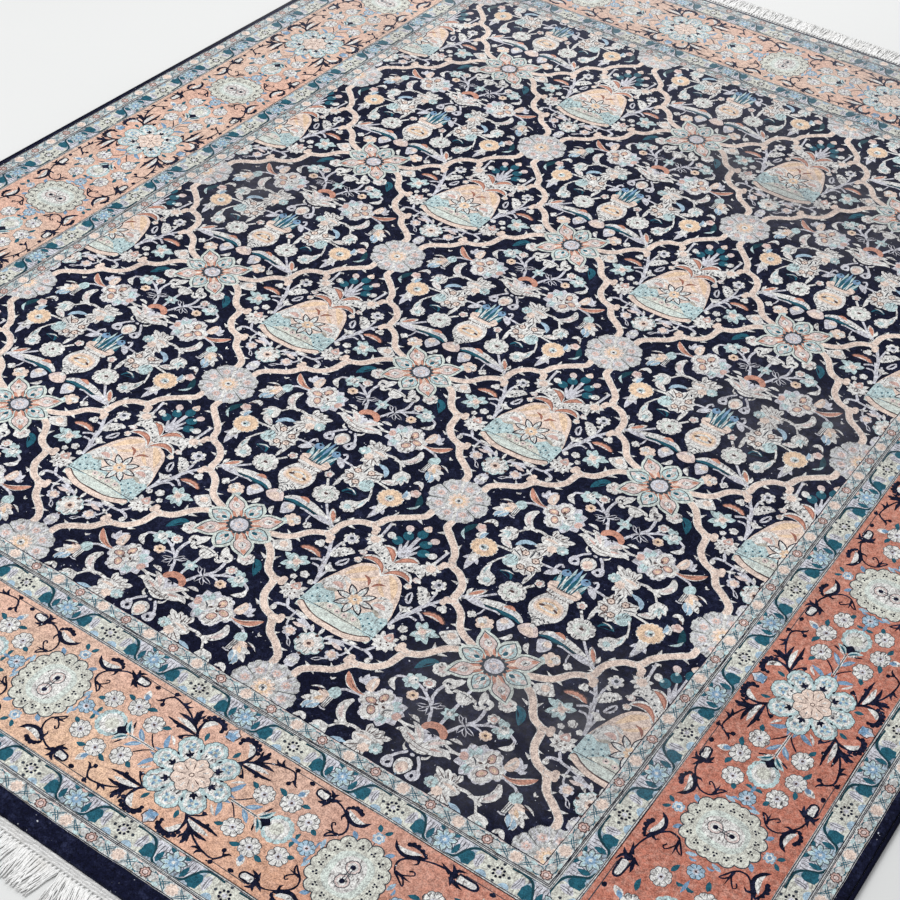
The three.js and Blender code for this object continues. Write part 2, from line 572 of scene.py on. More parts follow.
def chart_below_vase(c):
    """The white rosette, rays and calyx under the vase, and the sprays beside them."""
    c.band("lilac", 7, (0, 12), (0, 16), (0, 20))
    c.blob("lilac", (-1.6, 13.4), (-1.8, 16.8), (-0.8, 18), (0.8, 18), (1.8, 16.8), (1.6, 13.4))
    c.blob("ivory", (-2.2, 15.6), (-1, 16.6), (1, 16.6), (2.2, 15.6), (1, 14.8), (-1, 14.8))
    for turn in (90, 60, 120, 38, 142):
        c.petal("ivory", (0, 23.6), turn, 20, 44 if turn != 90 else 42, 7, belly=0.6)
    c.petals("aqua", (0, 23.3), 8, 8, 27, 19, turn=22.5, belly=0.6, blunt=0.6)
    c.petals("ivory", (0, 23.3), 8, 8, 25, 13, turn=22.5, belly=0.6, blunt=0.6)
    c.disc("ivory", 17, (0, 23.3))
    c.bloom("peach", 10.5, 8, (0, 23.3))
    c.disc("umber", 4.2, (0, 23.3))
    for spot in ((4.2, 23.2), (-4.2, 23.2), (0, 18.8), (0, 27)):
        c.disc("umber", 3.4, spot)
    stems = [
        (5, [(16.6, 33.6), (15.6, 31.9), (14.2, 30.7), (11.4, 30.4), (8.4, 30), (5, 28.8),
             (2.4, 27.6)]),
        (6, [(15.2, 31), (17.2, 30.6), (18.6, 29.6), (18.1, 28.2)]),
        (4, [(11.2, 30), (11.3, 28), (10.6, 25.6), (9.4, 24.6)]),
        (3, [(8, 22), (6.4, 21), (5.2, 19.2)]),
    ]
    for width, points in stems:
        c.band("lilac", width, *points)
    c.disc("ivory", 5.5, (18.2, 28.4), stretch=1.3, turn=80)
    c.leaf("lilac", 13, (9.4, 28.6), (6.6, 28.6), (3.8, 27.4))
    c.leaf("blush", 9, (9.6, 27), (7, 27.3), (4.8, 27.9))
    c.leaf("ivory", 9, (11.8, 31.4), (9.4, 30.8), (6.4, 30.6))
    c.leaf("ivory", 7, (12.8, 27.2), (11, 27.6), (9.6, 28.6))
    c.bloom("lilac", 13, 6, (8.2, 23.8), depth=0.25)
    c.bloom("peach", 9, 5, (8, 24), depth=0.25)
    c.disc("rose", 3, (7.8, 24.6))
    c.leaf("lilac", 8, (6.4, 21.4), (5.3, 20), (4, 19))
    c.leaf("navy", 4, (6.2, 21.2), (5.3, 20), (4.2, 19.2))
    c.leaf("ivory", 5, (13.2, 17.4), (14, 16.8), (14.8, 18))


def chart_foot_of_axis(c):
    """The coral palmette, buds and leaves low on the line between two vases."""
    c.band("lilac", 6, (50, 44), (50, 38), (50, 30), (50, 24), (50, 20))
    c.blob("ivory", *whole([(50, 35.3), (47.4, 34.8), (47.2, 33.4), (48.2, 31.4), (50, 30.6)], 50))
    c.leaf("ivory", 7, (49, 34), (46.9, 34.2), (45.6, 33))
    c.band("slate", 1.5, (47.6, 34.2), (50, 34.4), (52.4, 34.2))
    c.petal("aqua", (50, 25.8), 90, -16, 18, 11)
    for turn in (150, 30, 205, -25):
        c.petal("aqua", (50, 26), turn, 0, 15, 9)
    c.disc("ivory", 5, (50, 26))
    c.blob("lilac", *whole([(50, 17.5), (45.8, 17.6), (46.6, 14.6), (50, 13.6)], 50))
    c.blob("coral",
           *whole([(50, 21.6), (47.4, 21), (45.9, 19.4), (45.8, 17.8), (47.2, 17.4), (48.2, 18.6),
                   (50, 19.3)], 50))
    c.petals("navy", (50, 17.7), 4, 2, 9, 5, turn=45)
    c.disc("navy", 3, (50, 17.7))
    for way in c.sides(50):
        c.leaf("ivory", 20, (49.4, 11), (46.4, 12.6), (42.4, 13.9), (40.2, 13), belly=0.4)
        c.leaf("rose", 5, (48.6, 12), (46, 13.2), (43.6, 13.8))
        c.leaf("ivory", 16, (49.6, 12), (47.4, 15), (44.6, 17.4), (42.9, 17.8), belly=0.4)
        c.leaf("blush", 7, (48.6, 13.6), (46.8, 15.6), (44.6, 17))
        c.band("ivory", 5, (44.4, 16.4), (41.4, 15.8), (39, 16))
        c.band("lilac", 5, (48.4, 8.6), (46.4, 6.6), (45.2, 4.6), (44.2, 3.8))
        c.horn("ivory", 6, (47.4, 8.6), (46, 9.4), (45.6, 11))
        c.blob("lilac", (46.4, 4.4), (44.6, 4.9), (43.6, 2.4), (45, 0.8), (47.6, 1.6))
        c.disc("navy", 3.2, (45.8, 2.5), stretch=1.4, turn=60)
    c.blob("ivory", *whole([(50, 13.6), (46.6, 12.4), (47.4, 10.2), (50, 9.4)], 50))
    for height in (10.6, 11.9):
        c.band("umber", 1.4, (46.8, height + 0.5), (50, height), (53.2, height + 0.5))
    c.disc("navy", 7, (50, 8.2), stretch=1.25)
    c.disc("lilac", 3, (50, 8.2), stretch=1.4)
    c.blob("ivory", *whole([(50, 6.8), (48, 5.8), (47.4, 3.6), (48.6, 1.4), (50, 0.6)], 50))
    c.blob("peach", *whole([(50, 5.4), (48.5, 4.4), (48.4, 2.6), (50, 1.4)], 50))
    c.disc("rose", 3.5, (50, 2.6))


def chart_pot(c):
    """The round pot with its tuft of grass, on the line between two vases."""
    blades = [
        ("teal", 9, [(50.6, 86), (50.8, 91), (50, 97)]),
        ("aqua", 8, [(48.6, 86), (48.8, 92), (48.4, 97.4)]),
        ("teal", 8, [(47.6, 86), (47.2, 91), (46, 96)]),
        ("aqua", 8, [(46.8, 86.5), (46, 90), (44.8, 93)]),
        ("ivory", 6, [(49.7, 86), (49.6, 90), (49.4, 95)]),
        ("teal", 6, [(46.2, 86), (45.2, 88.4), (44.6, 91)]),
        ("blue", 6, [(50, 90), (50, 95), (50, 98.4)]),
        ("ivory", 4, [(47.9, 86), (47.8, 90), (47.1, 94)]),
    ]
    for way in c.sides(50):
        for yarn, width, points in blades:
            c.leaf(yarn, width, *points)
        c.disc("blue", 9, (46.4, 93.7))
        c.disc("navy", 3, (46.4, 94.4))
        for yarn, rise in (("blush", 0), ("peach", 0.9)):
            c.blob(yarn, (47.4, 84.4 + rise), (46.8, 88 + rise), (45.6, 87.9 + rise),
                   (44, 86.6 + rise), (45.6, 84.8 + rise))
    body = [(46.4, 83.6), (45, 81.6), (43.9, 79), (43.8, 76.4), (44.7, 74.2), (46.4, 72.4),
            (48, 71), (49, 69.2), (49.2, 68)]
    c.blob("blush", *mirrored([(50, 69.4), (48, 68.6), (46.4, 66), (47.6, 64.6), (49, 64)], 50))
    c.blob("peach", *mirrored([(50, 68), (48.6, 67), (47.6, 65.4), (49, 64.8)], 50))
    c.patch("ivory", *mirrored(body, 50))
    c.blob("peach", *mirrored([(50, 82), (46.6, 81), (45, 78.4), (45.4, 76), (47.4, 75)], 50))
    for yarn, reach in (("apricot", 0.78), ("ivory", 0.56), ("apricot", 0.34)):
        c.blob(yarn,
               *mirrored([(50, 78.2 + 3.6 * reach), (50 - 4.6 * reach, 78.2 + 2 * reach),
                          (50 - 5.4 * reach, 77.6), (50 - 3.8 * reach, 78.2 - 3 * reach)], 50))
    for spot in ((46.7, 72.8), (48.2, 72.4), (49.6, 72.2), (47.4, 71.2), (48.8, 70.8),
                 (49.6, 69.6)):
        for way in c.sides(50):
            c.petal("slate", spot, 90 - way * 60, -5, 5, 2.4, blunt=0.3)
    for way in c.sides(50):
        c.disc("umber", 3, (47.4, 77.9), stretch=2, turn=way * 25)
    for yarn, width, foot in (("ivory", 9, 84), ("peach", 9, 85.4), ("umber", 1.4, 86.4)):
        reach = 4.2 if yarn == "ivory" else 4.6
        c.band(yarn, width, (50 - reach, foot + 0.3), (50, foot), (50 + reach, foot + 0.3))
    for number in range(11):
        c.disc("umber", 1.6, (45.6 + 0.88 * number, 83.2))


def chart_white_palmette(c):
    """The white palmette of rose ovals and pointed petals, with its coral leaf and tulips."""
    c.band("ivory", 4, (48, 12.6), (45, 14), (42, 15.2), (39, 16.2))
    c.band("lilac", 5, (26, 17.2), (22.6, 16.4), (20, 16), (18.4, 14.8))
    c.rays("lilac", 26, (33, 17), [(35.3, 23.2), (38.9, 21.2), (40, 17.8), (39.4, 13.4),
                                   (35.6, 10.4), (32.6, 11)], bow=0.2)
    c.rays("aqua", 13, (33, 17), [(36.4, 21.6), (38.4, 19.4), (38.6, 15), (36.4, 12), (34.6, 11.4)],
           belly=0.55)
    c.blob("ivory", (36.6, 15), (35.6, 18.6), (33.4, 19.4), (32.6, 17), (33.6, 14.4))
    c.disc("rose", 7.5, (38, 16.4), stretch=1.2, turn=70)
    c.leaf("slate", 2.5, (36.2, 17.8), (34.6, 17), (33.4, 15.4))
    for centre in ((31, 20.2), (27.7, 17), (30.4, 13.4)):
        c.bloom("lilac", 19, 8, centre, depth=0.14)
        c.disc("ivory", 16, centre)
    c.disc("ivory", 12, (31, 17))
    for centre, turn in (((31, 19.9), 80), ((28.3, 17.1), 12), ((30.5, 14.2), -60)):
        c.disc("umber", 7.6, centre, stretch=1.4, turn=turn)
        c.disc("rose", 6.4, centre, stretch=1.4, turn=turn)
        c.disc("apricot", 3.4, centre, stretch=1.5, turn=turn)
    c.petals("umber", (31.6, 17.4), 3, 3, 12, 5, turn=100)
    coral = [(26, 17.4), (23, 17.3), (20.2, 18.2), (18, 20), (16.4, 22)]
    c.leaf("ivory", 15, *coral, belly=0.62)
    c.leaf("coral", 11.5, *coral, belly=0.62)
    c.leaf("umber", 1.6, (25, 17.4), (22.6, 17.5), (20.2, 18.6), (18.6, 20))
    c.leaf("lilac", 12, (24, 20.4), (22.6, 22), (21.8, 24.6))
    c.leaf("lilac", 12, (24, 20.6), (23.6, 23), (24.8, 25.2))
    c.leaf("lilac", 9, (23.4, 21.6), (21.6, 21.2), (20.4, 22.4))
    c.blob("peach", (26.6, 19.6), (26.6, 22.4), (25.6, 24.6), (24, 24), (23.4, 21.6), (24.2, 19.6))
    c.leaf("ivory", 4, (26.2, 20), (25.2, 22), (24.8, 24))
    c.blob("ivory", (29.3, 5.8), (26.6, 7.6), (25, 9.6), (24.4, 12), (24.6, 14), (23.6, 14.4),
           (22, 12.6), (21.6, 10.4), (22.8, 7.8), (25.2, 6.2))
    c.leaf("blush", 8, (25.6, 7.4), (23.6, 9), (23, 11.6))


def chart_tulips(c):
    """The capped tulip and the low palmette near the edge of the big rosette."""
    c.band("lilac", 4, (19.6, 15.6), (18, 14.8), (16.8, 13.4))
    c.blob("aqua", (19.8, 13.8), (19.4, 11.6), (17.8, 11.2), (16, 11.8), (16.2, 14.2),
           (17.9, 15.4))
    c.blob("peach", (17.4, 11.4), (17.2, 8.4), (15, 7.6), (13.4, 9.6), (14, 11.8), (15.6, 12.4))
    c.patch("ivory", (18.9, 11.4), (18.9, 7.2), (17.4, 7.4), (17.3, 11.4))
    for x in (18.6, 17.9, 17.3):
        c.band("slate", 1.4, (x, 7.4), (x - 0.1, 11.2))
    c.band("lilac", 3, (19.6, 6.8), (18.2, 6.6), (17.2, 7))
    for points in ([(15.6, 10), (13.2, 9.6), (11.4, 9.8)], [(15.4, 9), (13.2, 7.8), (10.8, 6.2)],
                   [(15.6, 8.4), (14, 6.4), (12.8, 3.8)], [(16.2, 8.4), (15.4, 6), (14.2, 4.6)]):
        c.leaf("ivory", 13, *points)
    for points in ([(16.6, 8), (15.8, 6.4), (14.4, 4)], [(14.8, 7.4), (13.4, 5.4), (13.8, 3.4)]):
        c.leaf("sky", 8, *points)
    c.leaf("umber", 3, (15.4, 11.6), (13.4, 11.9), (11.8, 12.4))
    c.leaf("apricot", 8, (16, 10.4), (15, 9), (14, 8))
    c.leaf("ivory", 4, (15, 12.8), (13, 12.6), (10.6, 11.2))
    for base, tip in (((36.8, 6.2), (42, 9.2)), ((36.4, 6.6), (38.9, 10.2)),
                      ((35.6, 6.6), (36.6, 10)), ((34.6, 6.4), (34.2, 10.6)),
                      ((37.2, 5.4), (41, 6.8))):
        c.ray("ivory", 12, base, tip, belly=0.66)
        rib = [t * 0.9 + b * 0.1 for t, b in zip(tip, base)]
        c.leaf("umber", 2, base, halfway(base, tip), rib)
    c.blob("ivory", (38.4, 6.6), (35.6, 7.4), (32.6, 6.9), (31.4, 5), (33, 3), (36, 2.6),
           (38.4, 4))
    c.leaf("peach", 7, (37.6, 5.6), (34.8, 5.6), (32.4, 5))
    c.leaf("umber", 2, (35, 6.8), (33, 6.4), (31.4, 5.4))
    c.bloom("aqua", 12, 7, (40.2, 4), depth=0.2)
    c.disc("ivory", 4, (40.4, 3.6))
    for tip in ((38.2, -1), (35.8, -2.4), (33, -2), (31.6, 0.4)):
        c.ray("ivory", 13, (36, 3.6), tip, belly=0.6)
        c.ray("umber", 2, (36, 3), tip)
    c.bloom("peach", 10, 6, (37.2, 2.4))
    c.band("ivory", 6, (33, 6.4), (30, 6.9), (27, 6.1), (24.4, 5.3))
    c.band("ivory", 4, (26.6, 5.8), (25.4, 4.6), (24.2, 2.8))
    c.rays("ivory", 12, (24, 3.2), [(19.2, 1.4), (18.6, -0.8), (19.6, -3), (21.8, -3.6),
                                    (23.8, -2.2)], belly=0.62)
    c.rays("aqua", 5, (22.2, 1.2), [(19.4, -0.2), (20.2, -2.4), (22.2, -2.8)])


def chart_mid_left(c):
    """The stem beside the coral palmette, its branch of small flowers, and the hooks."""
    stems = [
        (6, [(47.2, 19.6), (46, 21.8), (45, 24), (43, 26.4)]),
        (6, [(43.6, 26.2), (42.1, 28.4), (42, 31.4), (42.6, 34), (44, 36.6), (45.8, 38.4)]),
        (5.5, [(43, 26.2), (41, 27.4), (38.8, 29), (36.4, 29.9), (34, 30.2)]),
        (4, [(39.4, 29), (38.8, 30.6), (38.4, 32)]),
        (4, [(42, 26.6), (39.6, 26.4), (38, 25.6)]),
        (5, [(34, 30.3), (31.2, 29.9), (29.2, 28.9), (28.9, 27)]),
    ]
    for width, points in stems:
        c.band("lilac", width, *points)
    c.leaf("ivory", 11, (29.2, 28.6), (28.9, 26), (31.8, 24))
    c.leaf("ivory", 16, (43, 33.4), (44.8, 36), (46.6, 39))
    c.blob("ivory", (41.6, 36.4), (43.6, 37.2), (45.8, 36.2), (45.4, 34), (43, 33.2), (41.4, 34))
    c.disc("navy", 3.4, (43.2, 34.9), stretch=1.5)
    for tip in ((47.6, 27.6), (45.8, 28), (41.4, 21.9), (39.6, 23.6), (44.4, 21.6)):
        c.ray("lilac", 9, (43.8, 25), tip, bow=0.4)
        c.ray("navy", 5, (43.6, 25), tip, bow=0.5)
    c.rays("aqua", 13, (34, 30.3), [(36.8, 33.4), (34.6, 33.6), (31.2, 31.6), (31, 28.6),
                                    (33.4, 26.8), (36.8, 28)], belly=0.6)
    c.bloom("ivory", 10, 6, (34, 30.4))
    c.disc("teal", 2, (34.6, 30.8))
    c.bloom("peach", 11, 6, (37.1, 25.6), depth=0.18)
    c.bloom("apricot", 7.5, 6, (37.1, 25.7))
    c.disc("umber", 3, (37.2, 25.7))
    c.bloom("ivory", 11, 6, (38.5, 32), depth=0.18)
    c.disc("rose", 6, (38.4, 31.9))
    c.disc("ivory", 2.6, (38.4, 31.9))
    c.leaf("ivory", 8, (44.6, 18.6), (42.8, 19.4), (40.4, 19.2))
    c.leaf("ivory", 9, (43, 35), (44.4, 32.6), (46.4, 32.8), belly=0.6)
    hook = [(36.6, 39.4), (34.6, 39.4), (32.8, 37.4), (31.4, 34)]
    c.leaf("teal", 17, *hook, belly=0.45)
    c.leaf("navy", 3, (35.4, 39), (34, 37.8), (33, 36))
    c.bloom("ivory", 16.5, 6, (38.3, 38.4), depth=0.14)
    c.disc("blush", 8, (38.6, 38.6))
    c.leaf("umber", 2.4, (36.4, 39.2), (37.4, 38.8), (38.2, 39))
    c.blob("ivory", (36.6, 49.9), (34.8, 51.6), (32.4, 53.2), (30.2, 51.4), (29, 49.7), (31, 48.2),
           (34, 47.4), (35.8, 48.4))
    c.disc("peach", 8, (32.8, 50.6))
    c.leaf("ivory", 6, (36, 50), (38.2, 49.8), (39.6, 50.2))


def chart_mid_right(c):
    """The aqua flower, the white dots and the spiky palmette beside the vase."""
    c.rays("aqua", 14, (24.6, 46.8), [(20.9, 49.2), (23.4, 50.8), (27.9, 49.4), (30.2, 48.2),
                                      (28.6, 43.4), (25.6, 42.6), (22.4, 43.4)])
    c.rays("ivory", 9, (24.6, 46.8), [(22.4, 48.4), (26.8, 49), (27, 44.6), (23.4, 44.8)])
    c.bloom("peach", 8, 5, (24.6, 46.9))
    c.disc("rose", 3.4, (24.8, 46.9))
    c.bloom("ivory", 9, 5, (19.2, 44.3), depth=0.2)
    c.bloom("ivory", 6.5, 5, (15.8, 42.9), depth=0.2)
    c.bloom("ivory", 6.5, 5, (21.6, 41.6), depth=0.2)
    for points in ([(14.6, 42.8), (15.4, 46.4), (17.6, 49.4), (20.4, 49.4)],
                   [(14.6, 43.6), (16, 47.6), (17.4, 51), (19, 54)],
                   [(14.4, 43), (14.8, 46), (14.6, 49.6), (16, 53)]):
        c.band("lilac", 4.6, *points)
    for turn in (90, 52, 128, 18, 162, -16, 196, -50, 230, 270):
        c.petal("ivory", (17.9, 36.8), turn, 6, 27 if abs(turn - 90) < 60 else 23, 10)
    c.bloom("ivory", 17, 9, (17.9, 36.6), depth=0.12)
    c.blob("rose", (20, 38.4), (18.2, 40.9), (16.4, 38.6), (18.2, 37.6))
    c.blob("ivory", (19, 38.6), (18.2, 39.9), (17.4, 38.6))
    for spot in ((19.6, 36.4), (17.6, 35.4), (16.8, 36.6), (18.6, 37.2)):
        c.disc("umber", 2, spot)
    c.horn("lilac", 6, (15.2, 31.6), (16.6, 33.8), (17.2, 35))


def chart_upper_stems(c):
    """The long stem from the vase's shoulder to the trellis, with its leaves and flowers."""
    stems = [
        (6.5, [(22.6, 62.6), (21, 59.4), (19.2, 56.6), (17.6, 53), (16.4, 49.6), (15, 46.6)]),
        (4.5, [(17.6, 64), (18.6, 61), (18.6, 57.6), (17.6, 53.6)]),
        (5.5, [(10.2, 70.4), (10.6, 74), (11.2, 78.6)]),
        (5, [(21.8, 57.4), (19.6, 57), (17.6, 53.4)]),
        (5, [(22, 50.6), (19.6, 52.2), (17.8, 52)]),
    ]
    for width, points in stems:
        c.band("lilac", width, *points)
    c.horn("ivory", 6, (11, 77.6), (10, 78.6), (9.4, 77.8))
    c.bloom("ivory", 15, 6, (17.2, 65), depth=0.28)
    c.bloom("lilac", 9, 5, (17.2, 65), depth=0.2)
    c.disc("slate", 4, (17.2, 65.2))
    c.leaf("ivory", 8, (18.6, 62.6), (18.2, 61.6), (16.6, 61.4))
    c.fern("ivory", 24, (17.6, 55.4), (16.6, 58), (14.4, 60.2), (12, 60.8), teeth=6)
    for spot in ((16.6, 57.6), (15.6, 58.8), (14.4, 59.6)):
        c.disc("slate", 2, spot)
    c.fern("lilac", 15, (14.2, 53.2), (12.9, 55.4), (12.2, 58), teeth=5)
    c.leaf("navy", 5, (13.8, 53.8), (12.9, 55.4), (12.4, 57.4))
    c.blob("ivory", (17.3, 51), (15, 52.2), (13.8, 51.4), (12.2, 51.4), (13.4, 50), (14.6, 49.2),
           (16, 50.4))
    c.bloom("ivory", 10, 3, (23.9, 57.7), depth=0.35, turn=90)
    c.fern("umber", 17, (28.2, 53), (25.4, 54), (22, 53.9), (19.4, 52.8), teeth=6)
    c.fern("coral", 13, (27.8, 53), (25.4, 53.8), (22, 53.7), (19.8, 52.9), teeth=6)
    c.leaf("ivory", 3.4, (27, 52.9), (23.6, 53.3), (20.8, 52.7))
    c.petals("ivory", (10.9, 69.4), 8, 4, 20, 9, turn=12)
    c.bloom("peach", 10, 7, (10.9, 69.4))
    c.bloom("blush", 7.5, 5, (10.4, 62.6))
    c.disc("ivory", 3, (10.4, 62.6))
    c.bloom("ivory", 7.5, 5, (9.8, 59), depth=0.2)
    c.disc("apricot", 3.6, (9.8, 59))


def chart_orange_rosette(c):
    """The orange rosette beside the vase's spray, and the flowers round it."""
    c.band("ivory", 5, (29, 91.4), (26, 91), (22.6, 90.6), (20, 90))
    c.leaf("lilac", 15, (18.7, 84), (18.7, 80), (19.3, 75.4), belly=0.42)
    c.leaf("lilac", 9, (18.9, 82.6), (20.4, 80.6), (21.6, 79.6))
    c.leaf("lilac", 9, (18.5, 82.6), (17, 80.6), (15.8, 79.6))
    c.blob("ivory", (20.4, 83.6), (19.6, 80), (18.6, 79.2), (17.6, 80), (17.1, 83.6))
    c.bloom("ivory", 26, 16, (18.9, 87.4), depth=0.1)
    c.bloom("apricot", 24.5, 16, (18.9, 87.4), depth=0.12)
    c.bloom("ivory", 9.5, 8, (19, 87.2), depth=0.1)
    c.disc("aqua", 5.4, (19, 87.2))
    c.disc("slate", 2.6, (18.6, 87.1), stretch=1.3)
    c.band("rose", 2, (20.4, 85.7), (19.2, 85.5), (18, 85.6))
    c.bloom("blush", 11, 5, (13.3, 94), depth=0.2)
    c.disc("rose", 5, (13.4, 94.4), stretch=1.4, turn=40)
    c.blob("ivory", (15.9, 93.4), (14.2, 92.6), (13.4, 90.4), (14.8, 89.8), (16.6, 91))
    c.leaf("sky", 8, (16.6, 93.6), (15.6, 91.4), (16, 89.6))
    c.leaf("ivory", 10, (17, 97.4), (15, 98.9), (12.6, 96.2), belly=0.4)
    c.leaf("umber", 3.6, (14.8, 97.4), (13.8, 97.2), (13, 96))
    c.leaf("deepteal", 13, (11.6, 94.8), (9.8, 91), (9.4, 87.4))
    c.leaf("aqua", 6, (8.9, 90.4), (9.6, 88.2), (11.8, 86.4))
    c.leaf("sky", 12, (32.2, 98.4), (29.6, 97.8), (27.4, 96.2), (26.4, 94))
    c.leaf("navy", 4, (31, 97.2), (29.2, 96.4), (27.6, 94.8))
    c.blob("ivory", (26.4, 92), (24.4, 94.4), (21.6, 95.4), (21, 94), (22, 92.6), (24, 91.8))
    c.leaf("blush", 5, (25.6, 92.2), (23.8, 93.4), (22.4, 93.4))


def chart_spiky_palmette(c):
    """The spiky cream palmette with brown outlines, its curl and its small bud."""
    c.band("lilac", 5, (45.2, 93.2), (42.2, 92.8), (39.4, 92.6), (36.6, 91.6))
    c.band("lilac", 5, (42.6, 92.8), (42.4, 94.6), (43.4, 96), (44.4, 95))
    c.leaf("lilac", 14, (44.8, 92.2), (42.6, 91.4), (40.6, 89.2))
    c.band("lilac", 4, (37.4, 81.4), (38, 83.6), (36.8, 86.6))
    tips = ((30, 95), (33.4, 96.6), (36.6, 95), (38.6, 92.4), (39.4, 89.4), (38.6, 86), (36, 84.6),
            (32.6, 84), (29, 84.8), (26.6, 92.6), (27.2, 95))
    centre = (33, 89.6)
    c.rays("ivory", 22, centre, tips, belly=0.6)
    for number, tip in enumerate(tips):
        c.ray("umber" if number % 2 == 0 else "slate", 3, centre, tip, belly=0.6, bow=0.4)
    c.disc("ivory", 15, centre)
    for spot in ((35.8, 92), (36.2, 88.2), (31.2, 93.2), (33, 87)):
        c.bloom("umber", 8.4, 6, spot)
        c.bloom("peach", 6.4, 6, spot)
        c.disc("umber", 1.8, spot)
    c.blob("aqua", (31.6, 87.2), (29.6, 90.4), (26.9, 89.4), (26.4, 86.4), (28.6, 84.8))
    for x in (28, 29.4, 30.8):
        c.leaf("slate", 1.8, (x, 90.8), (x + 0.5, 89.4), (x + 0.2, 88))
    c.band("ivory", 4, (27, 88), (25.4, 85.6), (24, 81.8))
    c.bloom("ivory", 10, 5, (42.2, 84.8), depth=0.25)
    c.disc("rose", 5, (42, 84.6), stretch=1.3, turn=60)
    c.disc("ivory", 2, (42, 84.6))
    c.band("ivory", 5, (41.2, 83), (40, 81.4), (38.8, 80))
    c.leaf("ivory", 9, (38.4, 86.6), (37.6, 83.6), (37.8, 81))


def chart_cream_flowers(c):
    """The two pale flowers under the spiky palmette, with their leaves."""
    c.band("lilac", 5, (33.8, 73), (31.2, 70.2), (28.4, 67.6), (25, 65.6))
    c.bloom("ivory", 26, 8, (37, 76.6), depth=0.14)
    c.bloom("sage", 16, 8, (37, 76.6), depth=0.2)
    c.bloom("ivory", 11, 6, (37, 76.6), depth=0.2)
    c.petals("slate", (37, 76.6), 4, 16, 25, 2, turn=0, blunt=0.3)
    c.disc("umber", 3.2, (37, 76.8), stretch=1.4)
    c.leaf("teal", 14, (33.8, 80.6), (31.4, 82.4), (28.6, 81.8))
    c.leaf("navy", 7, (33.2, 80.8), (31.4, 82), (29.4, 81.6))
    c.leaf("ivory", 3, (33.6, 83), (31.2, 83.2), (28.8, 82))
    c.bloom("ivory", 17, 7, (27.4, 76.2), depth=0.2)
    c.disc("aqua", 7, (27.6, 76))
    c.blob("ivory", (29, 78.6), (26.6, 79.6), (25.6, 81.2), (24.8, 83), (23.9, 80.6), (24.2, 77.6),
           (26, 76.4))
    c.leaf("aqua", 5, (25, 81.6), (24.8, 79.4), (25.4, 77.6))
    c.leaf("umber", 3, (31, 72.8), (29.6, 72), (29, 70.6))
    c.leaf("ivory", 13, (30.6, 72.4), (28.4, 69.6), (25.8, 66.6), belly=0.42)
    c.leaf("coral", 8.5, (30, 71.8), (28.2, 69.6), (26.4, 67.4), belly=0.42)
    c.leaf("ivory", 8, (26.4, 70.8), (26, 69), (26.4, 67))


def chart_long_leaf(c):
    """The long leaf of three colours that bends down to the foot of the pot."""
    leaf = [(47, 67.6), (43.4, 69.4), (38.6, 69.7), (33.4, 68.6), (28.6, 67), (25.2, 64.6)]
    c.leaf("ivory", 16, *leaf, belly=0.35)
    c.leaf("teal", 8, (46.6, 66.8), (43.6, 67.9), (39, 67.8), (34.6, 67.4), belly=0.4)
    c.leaf("deepteal", 4, (45.6, 66.4), (40.4, 67.1), (33.4, 67.2), (28.4, 66))
    c.leaf("coral", 9, (42.8, 70.6), (40.8, 71), (38.4, 70))
    c.leaf("lilac", 5, (45.4, 68.6), (41.8, 69.4), (38, 69.4))
    c.leaf("lilac", 14, (34.4, 66), (31, 66.6), (26.4, 65.8))
    c.band("lilac", 4, (39.4, 66.6), (37.6, 66.9), (35.4, 66.4), (30, 66))
    c.blob("lilac", (45.6, 65.6), (44, 62), (42.8, 60.9), (41, 62.4), (40.2, 64.4), (41.8, 66.8))
    c.bloom("ivory", 9, 5, (42.4, 65))
    c.disc("peach", 6, (42, 65.2), stretch=1.3, turn=20)
    c.leaf("ivory", 10, (47, 62.2), (46.6, 60), (44.6, 58.4), belly=0.4)
    c.bloom("peach", 17, 6, (37.8, 60.8), depth=0.24)
    c.bloom("ivory", 9, 5, (36.6, 61.2), depth=0.2)
    c.blob("aqua", (40.4, 60.4), (38.4, 58.6), (39.2, 57.4), (41, 58))
    c.disc("apricot", 4, (37.4, 60))
    c.bloom("ivory", 9, 4, (32.4, 61.6), depth=0.3)
    c.band("lilac", 3, (34.4, 65.6), (34.2, 63.4), (33.6, 62.4))


def field_chart():
    """Half a repeat of the field, from the axis of the vases to the axis of the pots."""
    units = (REPEAT_WIDE / CHART_ACROSS, REPEAT_LONG / CHART_ALONG)
    c = Chart(REPEAT_WIDE / 2, REPEAT_LONG, "navy", units, CHART_START, wraps=True)
    chart_below_vase(c)
    chart_white_palmette(c)
    chart_tulips(c)
    chart_mid_left(c)
    chart_mid_right(c)
    chart_upper_stems(c)
    chart_orange_rosette(c)
    chart_spiky_palmette(c)
    chart_cream_flowers(c)
    chart_long_leaf(c)
    chart_foot_of_axis(c)
    chart_pot(c)
    chart_trellis(c)
    chart_great_star(c, (50, 48.6))
    chart_great_rosette(c, (0, 2.4))
    chart_vase(c)
    return c


# The length of half a repeat of each border stripe as charted, in millimetres. The main border's
# last half repeat before a corner is charted longer, and only half its width is drawn.
BORDER_UNIT = 302.0
CORNER_UNIT = 406.0
BORDER_HALF = (MEDIUM_OUT - MAIN) / 2
MEDIUM_UNIT = 100.0
NARROW_UNIT = 52.5

# From one medallion of the main border to the next along a short and a long side, in millimetres,
# and how many such steps there are from the middle of the side before the corner.
SHORT_STEP, SHORT_STEPS = 300, 2
LONG_STEP, LONG_STEPS = 313, 3


